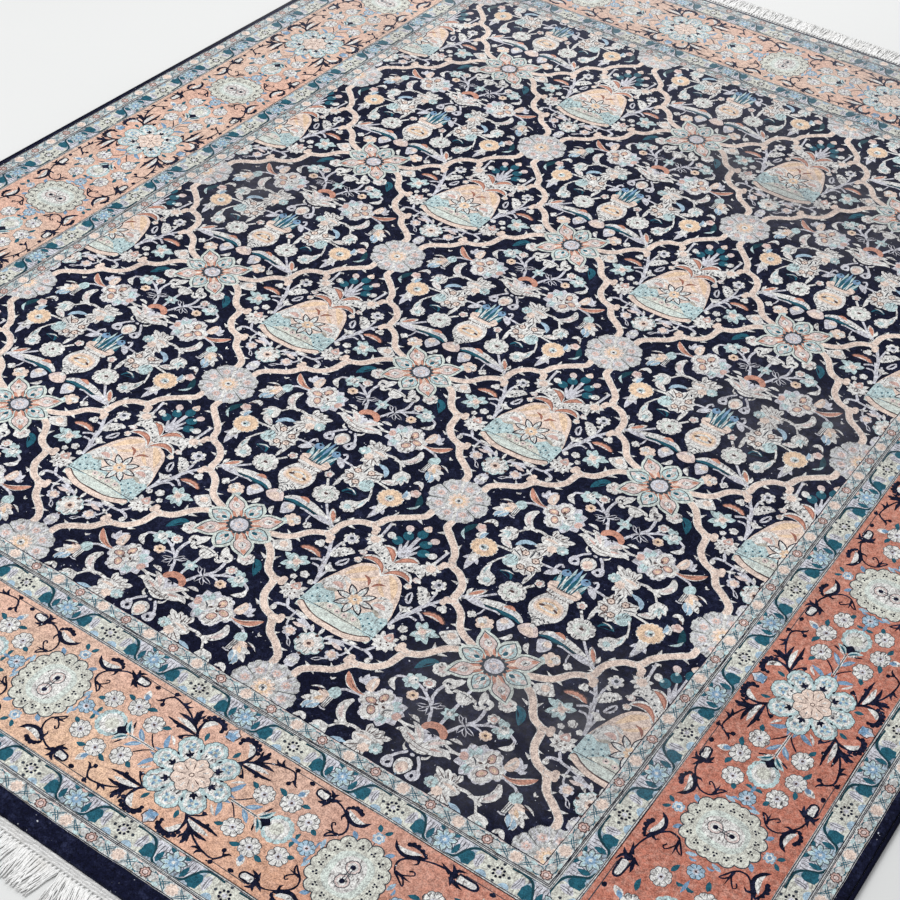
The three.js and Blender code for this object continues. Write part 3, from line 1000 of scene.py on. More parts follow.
def chart_cloud_medallion(c):
    """The cream medallion of clover lobes, with two dark eyes joined by a thin pair of lines."""
    lobes = [(11.5, 54), (32, 45), (44, 27), (47, 8)]
    for s, t in lobes:
        c.disc("slate", 14.2, (s, t))
    for s, t in lobes:
        c.disc("cream", 12.2, (s, t))
        c.petal("slate", (s, t), math.degrees(math.atan2(t, s)), -11, -3, 2)
    c.blob("cream", *whole([(0, 50), (22, 45), (38, 30), (42, 0), (38, -30), (22, -45), (0, -50)]))
    for s, t in lobes:
        x, y = s * 0.93, t * 0.93
        for turn in (0, 120, 240):
            c.disc("navy", 2, c.around((x, y), math.degrees(math.atan2(t, s)) + turn, 3.2))
    c.blob("sage", *whole([(0, 41), (18, 38), (32, 24), (35, 0), (32, -24), (18, -38), (0, -41)]))
    c.blob("ivory", *whole([(0, 34), (14, 30), (23, 16), (24, 0), (23, -16), (14, -30), (0, -34)]))
    c.bloom("slate", 13.2, 9, (0, 14.5), depth=0.1)
    c.bloom("blush", 11.8, 9, (0, 14.5), depth=0.1)
    c.bloom("ivory", 8.6, 9, (0, 14.5), depth=0.1)
    c.patch("slate", (1.4, 0), (3, 0), (3, 14), (1.4, 14))
    c.disc("navy", 4.6, (0, 14.5))
    c.patch("slate", (-0.8, 50), (0.8, 50), (0.8, 68), (-0.8, 68))


def chart_lotus_medallion(c):
    """The pale blue medallion with a peach rosette and its ring of dark tufts."""
    middle = (BORDER_UNIT, 0)
    clouds = [(BORDER_UNIT, 53, 21), (266, 40, 21), (BORDER_UNIT - 54, 0, 19)]
    for s, t, radius in clouds:
        c.bloom("slate", radius + 1.2, 9, (s, t), depth=0.08)
        c.bloom("aqua", radius, 9, (s, t), depth=0.08)
    c.disc("aqua", 52, middle)
    for s, t, radius in clouds:
        c.bloom("ivory", radius * 0.7, 7, (s, t), depth=0.15)
        c.bloom("aqua", radius * 0.46, 5, (s, t), depth=0.25)
        c.petals("blue", (s, t), 3, 0, radius * 0.5, 4.6, turn=90)
        c.disc("cream", 3, (s, t))
    for turn in range(90, 271, 45):
        c.petals("ivory", middle, 2, 30, 49, 9, turn=turn)
        c.petal("ivory", middle, turn - 12, 30, 50, 8)
        c.petal("ivory", middle, turn + 12, 30, 50, 8)
        place = c.around(middle, turn, 38)
        c.petal("navy", place, turn, -6, 11, 5.4, blunt=0.7)
        for side in (-62, 62):
            c.petal("navy", place, turn + side, -1, 8.4, 4.6, blunt=0.7)
            c.petal("navy", place, turn + side * 1.6, 0, 6, 3.6, blunt=0.7)
    for turn in (112.5, 157.5, 202.5, 247.5):
        c.petal("navy", middle, turn, 43, 52, 4)
    for grown, yarn in ((1.4, "slate"), (0, "peach")):
        for turn in range(90, 271, 45):
            reach = 35 if turn % 90 == 0 else 33
            c.petal(yarn, middle, turn, 4, reach + grown, 21 + 2 * grown, belly=0.66, blunt=0.7)
        c.disc(yarn, 20, middle)
    for turn in range(90, 271, 45):
        c.petal("umber", middle, turn + 22.5, 8, 26, 1.7, blunt=0.2)
        c.leaf("ivory", 3, *[c.around(middle, turn, reach) for reach in (16, 22, 28)])
    c.disc("umber", 4.6, middle)
    c.disc("peach", 2.8, middle)
    tuft = [(302, 114), (296, 106), (290, 103), (291, 92), (296, 85), (302, 84)]
    c.blob("umber", *whole(tuft, BORDER_UNIT))
    tuft = [(302, 111.4), (297, 104.6), (292, 101.6), (293, 93), (297, 87), (302, 86)]
    c.blob("lilac", *whole(tuft, BORDER_UNIT))
    for turn in (90, 30, 150, 210, 330):
        c.petal("blue", (BORDER_UNIT, 92), turn, -2, 11, 8)
    c.leaf("sky", 5, (302, 97), (302, 103), (302, 108))
    c.leaf("teal", 8, (275, 62), (272, 70), (270, 79))


def chart_arabesques(c):
    """The navy scrolls of the main border, with their white leaves and curls."""
    c.band("navy", 3.4, (98, 95), (82, 93), (66, 84), (51, 70), (48, 56), (53, 46), (63, 38))
    c.band("navy", 3, (63, 38), (70, 32), (68, 40), (62, 46))
    c.horn("navy", 6, (54, 46), (64, 45), (76, 44))
    c.band("navy", 2.6, (60, 45), (68, 51), (73, 58), (70, 62), (66, 58))
    c.horn("navy", 6, (66, 84), (68, 76), (64, 70))
    c.leaf("navy", 14, (22, 94), (31, 84), (46, 80), (62, 84), (72, 92), belly=0.55)
    c.leaf("ivory", 9, (31, 87), (44, 84), (58, 88), (66, 94))
    for s, t, radius in ((45, 98, 4), (51, 102, 4.2), (58, 103, 4.2), (64, 100, 4), (69, 96, 3.4)):
        c.disc("navy", radius, (s, t))
    c.band("navy", 4.4, (72, 92), (64, 99), (54, 100), (46, 96))
    for points in ([(100, 97), (104, 104), (112, 108)], [(98, 92), (90, 97), (84, 101)],
                   [(101, 88), (104, 80), (106, 72)], [(102, 96), (98, 104), (94, 108)],
                   [(104, 84), (112, 79), (118, 78)]):
        c.horn("navy", 8.5, *points)
    c.disc("navy", 7, (102, 93))
    c.blob("navy", (106, 101), (116, 102), (126, 101), (130, 94), (127, 86), (118, 84), (108, 84))
    c.blob("ivory", (107, 98), (116, 97.6), (124, 98.6), (127, 93), (123, 88), (114, 87),
           (107, 88))
    c.band("slate", 1.6, (112, 103), (140, 102.6), (178, 102.4))
    c.disc("navy", 4, (143, 98), stretch=1.3)
    c.band("navy", 3.4, (251, 66), (238, 78), (222, 89), (204, 96), (188, 99), (177, 98),
           (170, 90), (166, 80))
    c.band("navy", 2.8, (176, 98), (178, 105), (184, 107))
    c.disc("navy", 4.4, (177, 105))
    c.horn("navy", 7, (200, 97), (205, 103), (206, 110))
    c.horn("navy", 7, (204, 96), (212, 98), (217, 103))
    c.band("navy", 3, (168, 86), (172, 78), (176, 76))
    c.disc("navy", 4.2, (173, 76))
    c.horn("navy", 6, (168, 84), (162, 78), (156, 77))
    c.fern("navy", 12, (243, 74), (237, 86), (233, 97), (234, 109), teeth=4)
    c.leaf("navy", 5, (238, 88), (230, 94), (227, 101))
    c.leaf("navy", 5, (237, 86), (242, 95), (243, 103))
    c.fern("navy", 9, (257, 65), (238, 77), (220, 81), (202, 80), teeth=5)
    c.fern("navy", 8, (257, 62), (238, 62), (216, 62), (194, 65), teeth=5)
    c.leaf("ivory", 10, (254, 66), (238, 70.4), (224, 72), (208, 72))
    c.disc("navy", 3.6, (222, 58))
    c.band("navy", 3, (256, 60), (247, 54), (240, 48), (235, 42))
    c.band("navy", 2.6, (244, 52), (240, 45), (245, 42))
    c.disc("navy", 4, (240, 44))
    c.band("navy", 5.4, (262, 58), (256, 65), (252, 75), (251, 86), (254, 96), (262, 103),
           (272, 104), (280, 100), (283, 92))
    for s, t, radius in ((248, 93, 4.2), (250, 101, 4.4), (256, 106, 4.6), (264, 108, 4.4),
                         (272, 108, 4.6), (279, 105, 4.6), (284, 99, 4.4), (283, 91, 3.6)):
        c.disc("navy", radius, (s, t))
    c.leaf("ivory", 10, (255, 78), (257, 89), (263, 97), (271, 99))


def chart_border_flowers(c):
    """The flowers and leaves on the ground of the main border, between its medallions."""
    c.bloom("sky", 10.5, 7, (0, 78))
    c.bloom("ivory", 7, 6, (0, 78))
    c.disc("blue", 3.6, (0, 78))
    for s, lean in ((5, 7), (-5, -7)):
        c.leaf("teal", 8, (s * 0.6, 88), (s + lean * 0.5, 94), (s + lean, 100))
    c.leaf("blue", 9, (26, 57), (32, 62), (39, 68))
    for s, t, radius in ((78, 0, 14), (103, 38, 17.4), (147, 50, 17.4), (190, 38, 17.4)):
        c.bloom("slate", radius + 1.2, 8, (s, t), depth=0.12)
        c.bloom("ivory" if radius > 15 else "sky", radius, 8, (s, t), depth=0.12)
        for turn in range(0, 360, 45):
            c.petal("slate", (s, t), turn + 22.5, radius * 0.42, radius * 0.98, 1.5, blunt=0.3)
        c.bloom("lilac", 6, 6, (s, t), depth=0.2)
        c.disc("umber", 2.4, (s, t))
    for points in ([(92, 30), (86, 28), (80, 25)], [(132, 55), (124, 59), (116, 60)],
                   [(161, 54), (170, 60), (178, 61)], [(205, 40), (212, 45), (219, 47)]):
        c.leaf("teal", 9, *points, belly=0.45)
    c.leaf("ivory", 13, (146, 66), (142, 76), (138, 86), belly=0.4)
    c.leaf("blue", 9, (148, 66), (144, 72), (141, 78))
    for t in (17, -17):
        c.leaf("sky", 8, (60, t * 0.7), (62, t * 1.2), (64, t * 1.8))
        c.leaf("blue", 5, (66, t * 0.5), (68, t * 0.9), (66, t * 1.3))
        c.leaf("teal", 7, (98, t * 0.1), (101, t * 0.5), (99, t * 0.9))
        c.leaf("blue", 7, (220, t * 0.3), (238, t * 0.4), (252, t * 0.5))
    c.leaf("blue", 7, (90, 0), (98, 0), (108, 0))
    c.bloom("aqua", 27, 12, (133, 0), depth=0.08)
    c.bloom("ivory", 20, 10, (134, 0), depth=0.08)
    c.bloom("cream", 12, 8, (135, 0), depth=0.1)
    for t in (1, -1):
        c.leaf("navy", 7, (150, t * 2), (158, t * 8), (152, t * 16), belly=0.45)
        c.leaf("navy", 8, (148, t * 1), (158, t * 4), (168, 0))
        c.leaf("aqua", 9, (172, t * 1), (162, t * 10), (156, t * 24))
        c.leaf("teal", 4, (172, t * 2), (164, t * 10), (158, t * 20))
        c.leaf("ivory", 5, (176, t * 2), (168, t * 12), (166, t * 24))
        c.leaf("navy", 4, (170, t * 12), (166, t * 20), (163, t * 27))
        c.leaf("blue", 9, (200, t * 2), (188, t * 10), (178, t * 20))
        c.leaf("sky", 3.4, (198, t * 4), (188, t * 11), (182, t * 17))
        c.band("navy", 2.4, (224, t * 0.4), (212, t * 9), (200, t * 22))
        c.leaf("blue", 9, (240, t * 8), (230, t * 22), (224, t * 38))
        c.leaf("ivory", 5, (244, t * 24), (234, t * 34), (226, t * 38))
    c.disc("navy", 5, (153, 0))
    c.band("ivory", 2, (172, 1.4), (200, 1.4), (224, 1.2))
    c.band("slate", 1.6, (172, 0), (200, 0), (244, 0))
    c.bloom("aqua", 12, 6, (243, 0), depth=0.2)
    c.petals("blue", (243, 0), 5, 2, 10, 6, turn=180)
    c.disc("ivory", 3, (243, 0))


def main_border_chart(longer=None):
    """A quarter of the main border's repeat, from one medallion to the next."""
    c = Chart(BORDER_UNIT, BORDER_HALF, "brick", longer=longer)
    chart_arabesques(c)
    chart_border_flowers(c)
    chart_cloud_medallion(c)
    chart_lotus_medallion(c)
    return c


def medium_guard_chart():
    """Half a repeat of the medium guard, from a cartouche to a brown-outlined flower."""
    high = MAIN - MEDIUM_IN
    c = Chart(MEDIUM_UNIT, high, "mist")
    c.blob("cream", (-10, 6), (30, 7), (46, 12), (44, 26), (52, 40), (44, 46), (0, 46), (-10, 44))
    c.leaf("lilac", 16, (36, 11), (37, 24), (31, 38), belly=0.45)
    for s in (33, 37):
        c.band("slate", 1.1, (s, 14), (s + 0.6, 24), (s - 2, 34))
    c.blob("lilac", (56, 6), (70, 6), (88, 9), (86, 20), (78, 38), (72, 44), (66, 34), (62, 18))
    for s in (64, 70, 76, 82):
        c.band("slate", 1.1, (s, 9), (s - 1 + (s - 64) * 0.1, 20), (70 + (s - 64) * 0.4, 36))
    c.band("deepteal", 4.6, (13, 7), (30, 6), (47, 8), (57, 15), (63, 27), (70, 39), (82, 45),
           (100, 46))
    c.blob("teal", (48, 18), (56, 18), (62, 26), (67, 38), (60, 40), (56, 44), (50, 42), (44, 41),
           (44, 34), (43, 26))
    c.leaf("teal", 10, (76, 17), (76, 28), (77, 40))
    c.leaf("teal", 8, (80, 3), (86, 7), (91, 13))
    c.leaf("sky", 12, (10, 44), (20, 41), (30, 44))
    c.dots("navy", 2.5, (0, 24.5), 8, 8.4)
    c.disc("lilac", 4.4, (0, 24.5))
    for turn in (0, 90, 270):
        angle = math.radians(turn)
        c.disc("slate", 3, (17.5 * math.cos(angle), 24.5 + 17 * math.sin(angle)))
    middle = (MEDIUM_UNIT, 25)
    c.petals("slate", middle, 8, 5, 22, 11, turn=22.5)
    c.petals("aqua", middle, 8, 5, 20, 8.6, turn=22.5)
    c.petals("sky", middle, 8, 6, 15, 5, turn=22.5)
    c.bloom("blue", 8.4, 8, middle, depth=0.3)
    c.bloom("sky", 5.4, 6, middle, depth=0.3)
    c.disc("ivory", 2.6, middle)
    c.disc("rose", 5, (MEDIUM_UNIT, 5), stretch=1.3)
    for t in (0, high):
        c.band("stone", 11, (-4, t), (50, t), (104, t))
    for t in (1.4, 4.4, high - 4.4, high - 1.4):
        c.strip("navy", t, 0.6)
    return c


def narrow_guard_chart():
    """Half a repeat of the narrow guard, from a brown-ringed rosette to a soft peach flower."""
    high = MEDIUM_IN
    c = Chart(NARROW_UNIT, high, "stone")
    c.patch("sand", (12, high), (20, high - 12), (28, high))
    c.patch("blush", (12, 0), (20, 12), (28, 0))
    for points in ([(8, 7), (18, 5), (30, 9), (42, 20)], [(8, 20), (18, 22), (30, 18), (42, 6)],
                   [(11, 4), (22, 8), (34, 17), (44, 24)], [(11, 23), (22, 19), (34, 10), (44, 3)]):
        c.band("teal", 1.4, *points)
    for spot in ((25, 6), (25, 21)):
        c.leaf("aqua", 7, (spot[0] - 7, spot[1]), spot, (spot[0] + 7, spot[1]))
    middle = (0, high / 2)
    c.bloom("umber", 10, 8, middle)
    c.bloom("rose", 7.8, 8, middle)
    c.bloom("umber", 5.3, 6, middle)
    c.disc("blush", 3.6, middle)
    soft = (NARROW_UNIT, high / 2)
    c.bloom("ivory", 12, 8, soft)
    c.bloom("peach", 10.4, 8, soft)
    for t in (0.8, high - 1.4):
        c.strip("navy", t, 0.8)
    return c


def clip(faces, normal, limit):
    """The parts of triangles where the normal times the place stays under the limit."""
    reach = faces @ np.array(normal) - limit
    under = (reach <= 0).all(axis=1)
    kept = list(faces[under])
    for face, past in zip(faces[~under], reach[~under]):
        if (past > 0).all():
            continue
        outline = []
        for k in range(3):
            here, there = face[k], face[(k + 1) % 3]
            a, b = past[k], past[(k + 1) % 3]
            if a <= 0:
                outline.append(here)
            if (a <= 0) != (b <= 0):
                outline.append(here + (there - here) * (a / (a - b)))
        for k in range(1, len(outline) - 1):
            kept.append(np.array([outline[0], outline[k], outline[k + 1]]))
    return np.array(kept) if kept else np.zeros((0, 3, 2))


class Pattern:
    """The triangles of every yarn, laid over the rug in millimetres about the field's middle."""

    def __init__(self):
        self.faces = {}

    def add(self, yarn, faces):
        if len(faces):
            self.faces.setdefault(yarn, []).append(faces)

    def yarns(self):
        """Each yarn with its corners, in metres in the rug's frame, and its faces."""
        noise.seed_set(HAND)
        for yarn, parts in sorted(self.faces.items()):
            points = np.concatenate(parts).reshape(-1, 2)
            steps, number = np.unique(np.round(points, 2), axis=0, return_inverse=True)
            faces = number.reshape(-1, 3)
            a, b, c = (steps[faces[:, k]] for k in range(3))
            (bx, by), (cx, cy) = (b - a).T, (c - a).T
            turn = bx * cy - by * cx
            faces = np.where((turn < 0)[:, None], faces[:, ::-1], faces)[np.abs(turn) > 0.01]
            yield yarn, hand_knotted(steps), faces


# The waves of the weaver's hand and the loom: how far they move a knot and how long they are,
# in millimetres, and at which height the noise is read.
WAVES = [(3.4, 330, 4.2), (1.5, 46, 9.7), (0.8, 5, 1.3)]


def hand_knotted(places):
    """Places on the rug in metres, each moved a little as the weaver's hand and the loom did."""
    moved = []
    for x, y in places:
        across, along = x, y
        for reach, length, height in WAVES:
            wave = noise.noise_vector(Vector((x / length, y / length, height)))
            across += reach * wave.x
            along += reach * wave.y
        moved.append(((across + FIELD_MIDDLE[0]) * MM, (along + FIELD_MIDDLE[1]) * MM))
    return moved


def by_yarn(chart):
    """A cut chart as one array of triangles for each yarn."""
    groups = {}
    for yarn, corners in chart.cut():
        groups.setdefault(yarn, []).append(corners)
    return {yarn: np.array(faces) for yarn, faces in groups.items()}


def lay_field(pattern):
    """Lay the field's half repeats, mirrored in turn, and stop at the field's near edge."""
    half = REPEAT_WIDE / 2
    for yarn, faces in by_yarn(field_chart()).items():
        if yarn == "navy":
            continue
        for start, end in zip(LAID_ROWS, LAID_ROWS[1:]):
            laid = faces * (1, end - start) + (0, start * REPEAT_LONG - HALF_LONG)
            if start < 0:
                laid = clip(laid, (0, -1), HALF_LONG)
            for column in range(2 * ACROSS):
                side = laid if column % 2 == 0 else (half, 0) + laid * (-1, 1)
                pattern.add(yarn, side + (column * half - HALF_WIDE, 0))


def lay_stripe(pattern, charts, depth, short_stops, long_stops, start_odd=(False, False)):
    """Lay half repeats of a border stripe from the middle of each side to its mitred corners.

    charts holds a cut chart for each length of half repeat, and the nearest in length is laid.
    """
    for side in range(4):
        lengthwise = side % 2 == 1
        half = HALF_LONG if lengthwise else HALF_WIDE
        other = HALF_WIDE if lengthwise else HALF_LONG
        stops = long_stops if lengthwise else short_stops
        for number, (start, end) in enumerate(zip(stops, stops[1:])):
            odd = (number + start_odd[lengthwise]) % 2 == 1
            unit = min(charts, key=lambda length: abs(length - (end - start)))
            for yarn, faces in charts[unit].items():
                if yarn == "navy":
                    continue
                along = stretched(faces[..., 0], unit, end - start)
                along = end - along if odd else start + along
                out = faces[..., 1] + depth
                laid = np.stack([along, out], axis=-1)
                if end > half + out.min():
                    laid = clip(laid, (1, -1), half)
                for way in (1, -1):
                    placed = np.stack([way * laid[..., 0], -(other + laid[..., 1])], axis=-1)
                    pattern.add(yarn, turned(placed, side))


# How much of a half repeat each of its end motifs takes up.
END_MOTIF = 0.19


def stretched(along, unit, length):
    """Places along a half repeat that is laid longer: its two end motifs keep their size."""
    keep = END_MOTIF * unit
    middle = (length - 2 * keep) / (unit - 2 * keep)
    past = np.clip(along - keep, 0, unit - 2 * keep)
    return along + past * (middle - 1)


def turned(places, side):
    """Places of the near side turned to one of the four sides."""
    x, y = places[..., 0], places[..., 1]
    return np.stack([(x, y), (-y, x), (-x, -y), (y, -x)][side], axis=-1)


def even_stops(length, units):
    """Stops at even distances to a corner's middle, and one more past it."""
    return [length * k / units for k in range(units + 2)]


def medallion_stops(step, steps, corner):
    """Stops at the medallions of one side of the main border, at its corner and past it."""
    return [step * k for k in range(steps + 1)] + [corner, corner + BORDER_UNIT]


def lay_borders(pattern):
    """Lay the main border and the guards on both its sides."""
    middle = MAIN + BORDER_HALF
    main = {}
    for length in (BORDER_UNIT, CORNER_UNIT):
        main[length] = {yarn: np.concatenate([faces, faces * (1, -1)])
                        for yarn, faces in by_yarn(main_border_chart(length)).items()}
    lay_stripe(pattern, main, middle, medallion_stops(SHORT_STEP, SHORT_STEPS, HALF_WIDE + middle),
               medallion_stops(LONG_STEP, LONG_STEPS, HALF_LONG + middle), (False, True))
    medium = {MEDIUM_UNIT: by_yarn(medium_guard_chart())}
    narrow = {NARROW_UNIT: by_yarn(narrow_guard_chart())}
    # Each guard: its chart, where it starts, the middle of its corners, its half repeats to a
    # corner on a short and a long side, and whether the sides start with the chart's other end.
    guards = [
        (medium, MEDIUM_IN, (MEDIUM_IN + MAIN) / 2, 9, 12, (False, False)),
        (medium, MEDIUM_OUT, (MEDIUM_OUT + NARROW_OUT) / 2, 12, 15, (True, False)),
        (narrow, NARROW_IN, MEDIUM_IN / 2, 16, 22, (False, False)),
        (narrow, NARROW_OUT - NARROW_BACK, NARROW_OUT + MEDIUM_IN / 2, 23, 30, (True, False)),
    ]
    for charts, depth, corner, short, long, start_odd in guards:
        lay_stripe(pattern, charts, depth, even_stops(HALF_WIDE + corner, short),
                   even_stops(HALF_LONG + corner, long), start_odd)


class Tone:
    """A number that changes over a surface, for sums written as Python expressions."""

    def __init__(self, finish, socket):
        self.finish = finish
        self.socket = socket

    def math(self, operation, *others, clamp=False):
        node = self.finish.node("ShaderNodeMath", {"operation": operation, "use_clamp": clamp},
                                *((self,) + others))
        return Tone(self.finish, node.outputs[0])

    def __add__(self, other):
        return self.math("ADD", other)

    __radd__ = __add__

    def __sub__(self, other):
        return self.math("SUBTRACT", other)

    def __rsub__(self, other):
        return self.math("MULTIPLY", -1) + other

    def __mul__(self, other):
        return self.math("MULTIPLY", other)

    __rmul__ = __mul__

    def clamped(self):
        return self.math("ADD", 0, clamp=True)


class Finish:
    """A material and the nodes that make it."""

    def __init__(self, name):
        self.material = bpy.data.materials.new(name)
        self.material.use_nodes = True
        self.tree = self.material.node_tree
        self.shader = self.tree.nodes["Principled BSDF"]
        self.places = self.node("ShaderNodeTexCoord").outputs["Object"]

    def node(self, kind, settings=None, *values, **named):
        """Make a node: its settings first, then its sockets in order or by name."""
        node = self.tree.nodes.new(kind)
        for name, value in (settings or {}).items():
            setattr(node, name, value)
        for number, value in enumerate(values):
            self.feed(node.inputs[number], value)
        for name, value in named.items():
            self.feed(node.inputs[name.replace("_", " ")], value)
        return node

    def feed(self, socket, value):
        if isinstance(value, Tone):
            value = value.socket
        if isinstance(value, bpy.types.NodeSocket):
            self.tree.links.new(value, socket)
        elif value is not None:
            socket.default_value = value

    def grain(self, scale, detail=2.0, stretch=(1, 1, 1), roughness=0.5):
        """Soft noise from 0 to 1, its scale per metre."""
        places = self.node("ShaderNodeVectorMath", {"operation": "MULTIPLY"},
                           self.places, stretch).outputs[0]
        node = self.node("ShaderNodeTexNoise", None, Vector=places, Scale=scale, Detail=detail,
                         Roughness=roughness)
        return Tone(self, node.outputs[0])

    def spread(self, tone, low, high, to_low=0.0, to_high=1.0):
        """Map a stretch of a tone smoothly to other limits."""
        node = self.node("ShaderNodeMapRange", {"interpolation_type": "SMOOTHSTEP"}, tone, low,
                         high, to_low, to_high)
        return Tone(self, node.outputs[0])

    def blend(self, mask, first, second, way="MIX"):
        """Mix two colours by a mask."""
        node = self.tree.nodes.new("ShaderNodeMix")
        node.data_type = "RGBA"
        node.blend_type = way
        self.feed(node.inputs["Factor"], mask)
        colours = [socket for socket in node.inputs if socket.type == "RGBA"]
        self.feed(colours[0], first)
        self.feed(colours[1], second)
        return [socket for socket in node.outputs if socket.type == "RGBA"][0]

    def axis(self, name):
        """One coordinate of a place on the rug, in metres."""
        split = self.node("ShaderNodeSeparateXYZ", None, self.places)
        return Tone(self, split.outputs[name])

    def bump(self, height, depth, strength=1.0):
        """Raise the surface by a height from 0 to 1, its depth in metres."""
        node = self.node("ShaderNodeBump", None, Strength=strength, Distance=depth, Height=height)
        self.feed(self.shader.inputs["Normal"], node.outputs[0])

    def near_spot(self, x, y, radius):
        """How near a place is to a spot on the rug, from 0 to 1."""
        away = self.node("ShaderNodeVectorMath", {"operation": "DISTANCE"}, self.places,
                         (x, y, PILE_TOP)).outputs["Value"]
        return self.spread(Tone(self, away), 0.0, radius, 1.0, 0.0)


# Tones that dye, light and dust give the wool, as they look on a screen.
ROSY = (0.84, 0.64, 0.56)
ORANGE = (0.90, 0.72, 0.55)
PINK = (0.84, 0.70, 0.64)
MOTTLED = (0.25, 0.28, 0.42)

# Tones of thin lines, of dust mixed with painted sheen, and of painted sheen at the far end, as the
# light that they send back.
INK = (0.10, 0.085, 0.085, 1.0)
DUST_AND_SHEEN = (0.165, 0.16, 0.17, 1.0)
PAINTED_SHEEN = (0.56, 0.53, 0.51, 1.0)
PAINTED_SHEEN_NAVY = (0.24, 0.25, 0.32, 1.0)
SPECKS = (0.6, 0.62, 0.68, 1.0)

# What the darkest and the palest knots make of their yarn's colour.
KNOT_TONES = (0.52, 0.50, 0.52, 1.0), (1.42, 1.44, 1.44, 1.0)
NAVY_KNOT_TONES = (0.30, 0.32, 0.40, 1.0), (2.3, 2.2, 2.0, 1.0)

# Patches on the pile that are partly worn and dusty and partly painted sheen where light reflects
# off it: x, y and radius in metres.
WORN_AND_SHEEN_PATCHES = [
    (0.67, 0.03, 0.28), (0.60, -0.98, 0.27), (0.74, -0.86, 0.24),
    (0.12, 0.88, 0.40), (0.42, 0.79, 0.36), (-0.72, 0.02, 0.28), (0.30, 1.48, 0.45),
]


def linear(colour):
    """A colour given as it looks on a screen, as the light that it sends back, and opaque."""
    return tuple(c / 12.92 if c <= 0.04045 else ((c + 0.055) / 1.055) ** 2.4
                 for c in colour[:3]) + (1.0,)


def salmon(finish, tint, deep, blotches):
    """The main border's ground: rosy clouds, an orange near end, and towards the right a deeper dye
    that also paints the pile's shade.
    """
    # Partly a deeper dye and partly painted shade: the pile, by the way it lies, looks darker
    # towards the right.
    deeper_dye_and_pile_shade = finish.spread(finish.axis("X") + finish.axis("Y") * -0.12, 0.35, 1.12)
    outer = finish.spread(finish.axis("Y") + (blotches - 0.5) * 0.6, -1.6, -1.2, 0.6, 0.0)
    rosy = finish.spread(finish.grain(3.4, 3.0), 0.44, 0.60, 0.0, 0.55)
    base = finish.blend(rosy, tint, linear(ROSY))
    base = finish.blend(outer, base, linear(ORANGE))
    base = finish.blend(deeper_dye_and_pile_shade, base, linear(deep))
    pink = finish.spread(finish.grain(90.0, 4.0, roughness=0.8), 0.42, 0.66, 0.0, 0.36)
    return finish.blend(pink, base, linear(PINK))


def thin_lines(finish, base, amount):
    """The fine dark lines and strokes that are knotted inside pale flowers."""
    across = (finish.grain(85.0, 0.0) - 0.5).math("ABSOLUTE")
    line = finish.spread(across, 0.01, 0.045, 0.45 * amount, 0.0)
    strokes = finish.spread(finish.grain(290.0, 1.0, stretch=(1.0, 0.3, 1.0)), 0.54, 0.62)
    drawn = strokes * finish.spread(finish.grain(60.0, 1.0), 0.42, 0.58, 0.15, amount)
    return finish.blend(line + drawn, base, INK)


def worn_and_sheen_patches(finish, hazy):
    """How worn and dusty each place is, with the painted sheen that the patches also carry, from 0
    to 1.
    """
    patches = None
    for x, y, radius in WORN_AND_SHEEN_PATCHES:
        spot = finish.near_spot(x, y, radius)
        patches = spot if patches is None else patches + spot
    cloud = finish.spread(finish.grain(7.0, 5.0, roughness=0.75), 0.36, 0.64)
    return ((patches * (0.2 + 0.8 * cloud)) * hazy).clamped()


def wool(name, colour, hazy, deep=None, lines=0.0, ground=False):
    """Knotted wool pile: knots, dye lots, patches of wear and painted sheen, painted sheen at the
    far end, and a soft sheen.

    A deep colour is a second dye towards the right side that also paints the pile's shade there,
    and the ground is mottled and specked.
    """
    finish = Finish(name)
    knots = finish.grain(480.0, 1.0)
    tufts = finish.grain(120.0, 2.0)
    dye_lots = finish.grain(1.0, 3.0, stretch=(0.5, 7.0, 1.0))
    blotches = finish.grain(7.0, 3.0)
    light = 0.5 + (knots - 0.5) * 1.8 + (tufts - 0.5) * 1.3 + (dye_lots - 0.5) * 0.45
    light = light + (blotches - 0.5) * 0.3
    base = linear(colour)
    if deep:
        base = salmon(finish, base, deep, blotches)
    if lines:
        base = thin_lines(finish, base, lines)
    if ground:
        mottled = finish.spread(finish.grain(55.0, 4.0, roughness=0.8), 0.46, 0.70, 0.0, 0.20)
        base = finish.blend(mottled, base, linear(MOTTLED))
    darkest, palest = NAVY_KNOT_TONES if ground else KNOT_TONES
    dark = finish.blend(1.0, base, darkest, "MULTIPLY")
    pale = finish.blend(1.0, base, palest, "MULTIPLY")
    coloured = finish.blend(light.clamped(), dark, pale)
    # Patches that are partly real wear and dust and partly painted sheen where light reflects off
    # the pile.
    coloured = finish.blend(worn_and_sheen_patches(finish, hazy), coloured, DUST_AND_SHEEN)
    # Painted sheen: the far end is paled towards a chalky grey, as glancing light on the pile makes
    # it look.
    painted_far_sheen = finish.spread(finish.axis("Y") + finish.axis("X") * -0.5, 0.7, 1.9, 0.0, 0.2)
    coloured = finish.blend(painted_far_sheen, coloured, PAINTED_SHEEN_NAVY if ground else PAINTED_SHEEN)
    if ground:
        specks = finish.spread(finish.grain(150.0, 1.0), 0.76, 0.80, 0.0, 0.9)
        coloured = finish.blend(specks, coloured, SPECKS)
    finish.feed(finish.shader.inputs["Base Color"], coloured)
    finish.shader.inputs["Roughness"].default_value = 0.92
    finish.shader.inputs["Sheen Weight"].default_value = 0.02
    finish.shader.inputs["Sheen Roughness"].default_value = 0.45
    finish.shader.inputs["Specular IOR Level"].default_value = 0.08
    finish.bump(knots * 0.6 + tufts * 0.5, 0.0012, 0.7)
    return finish.material


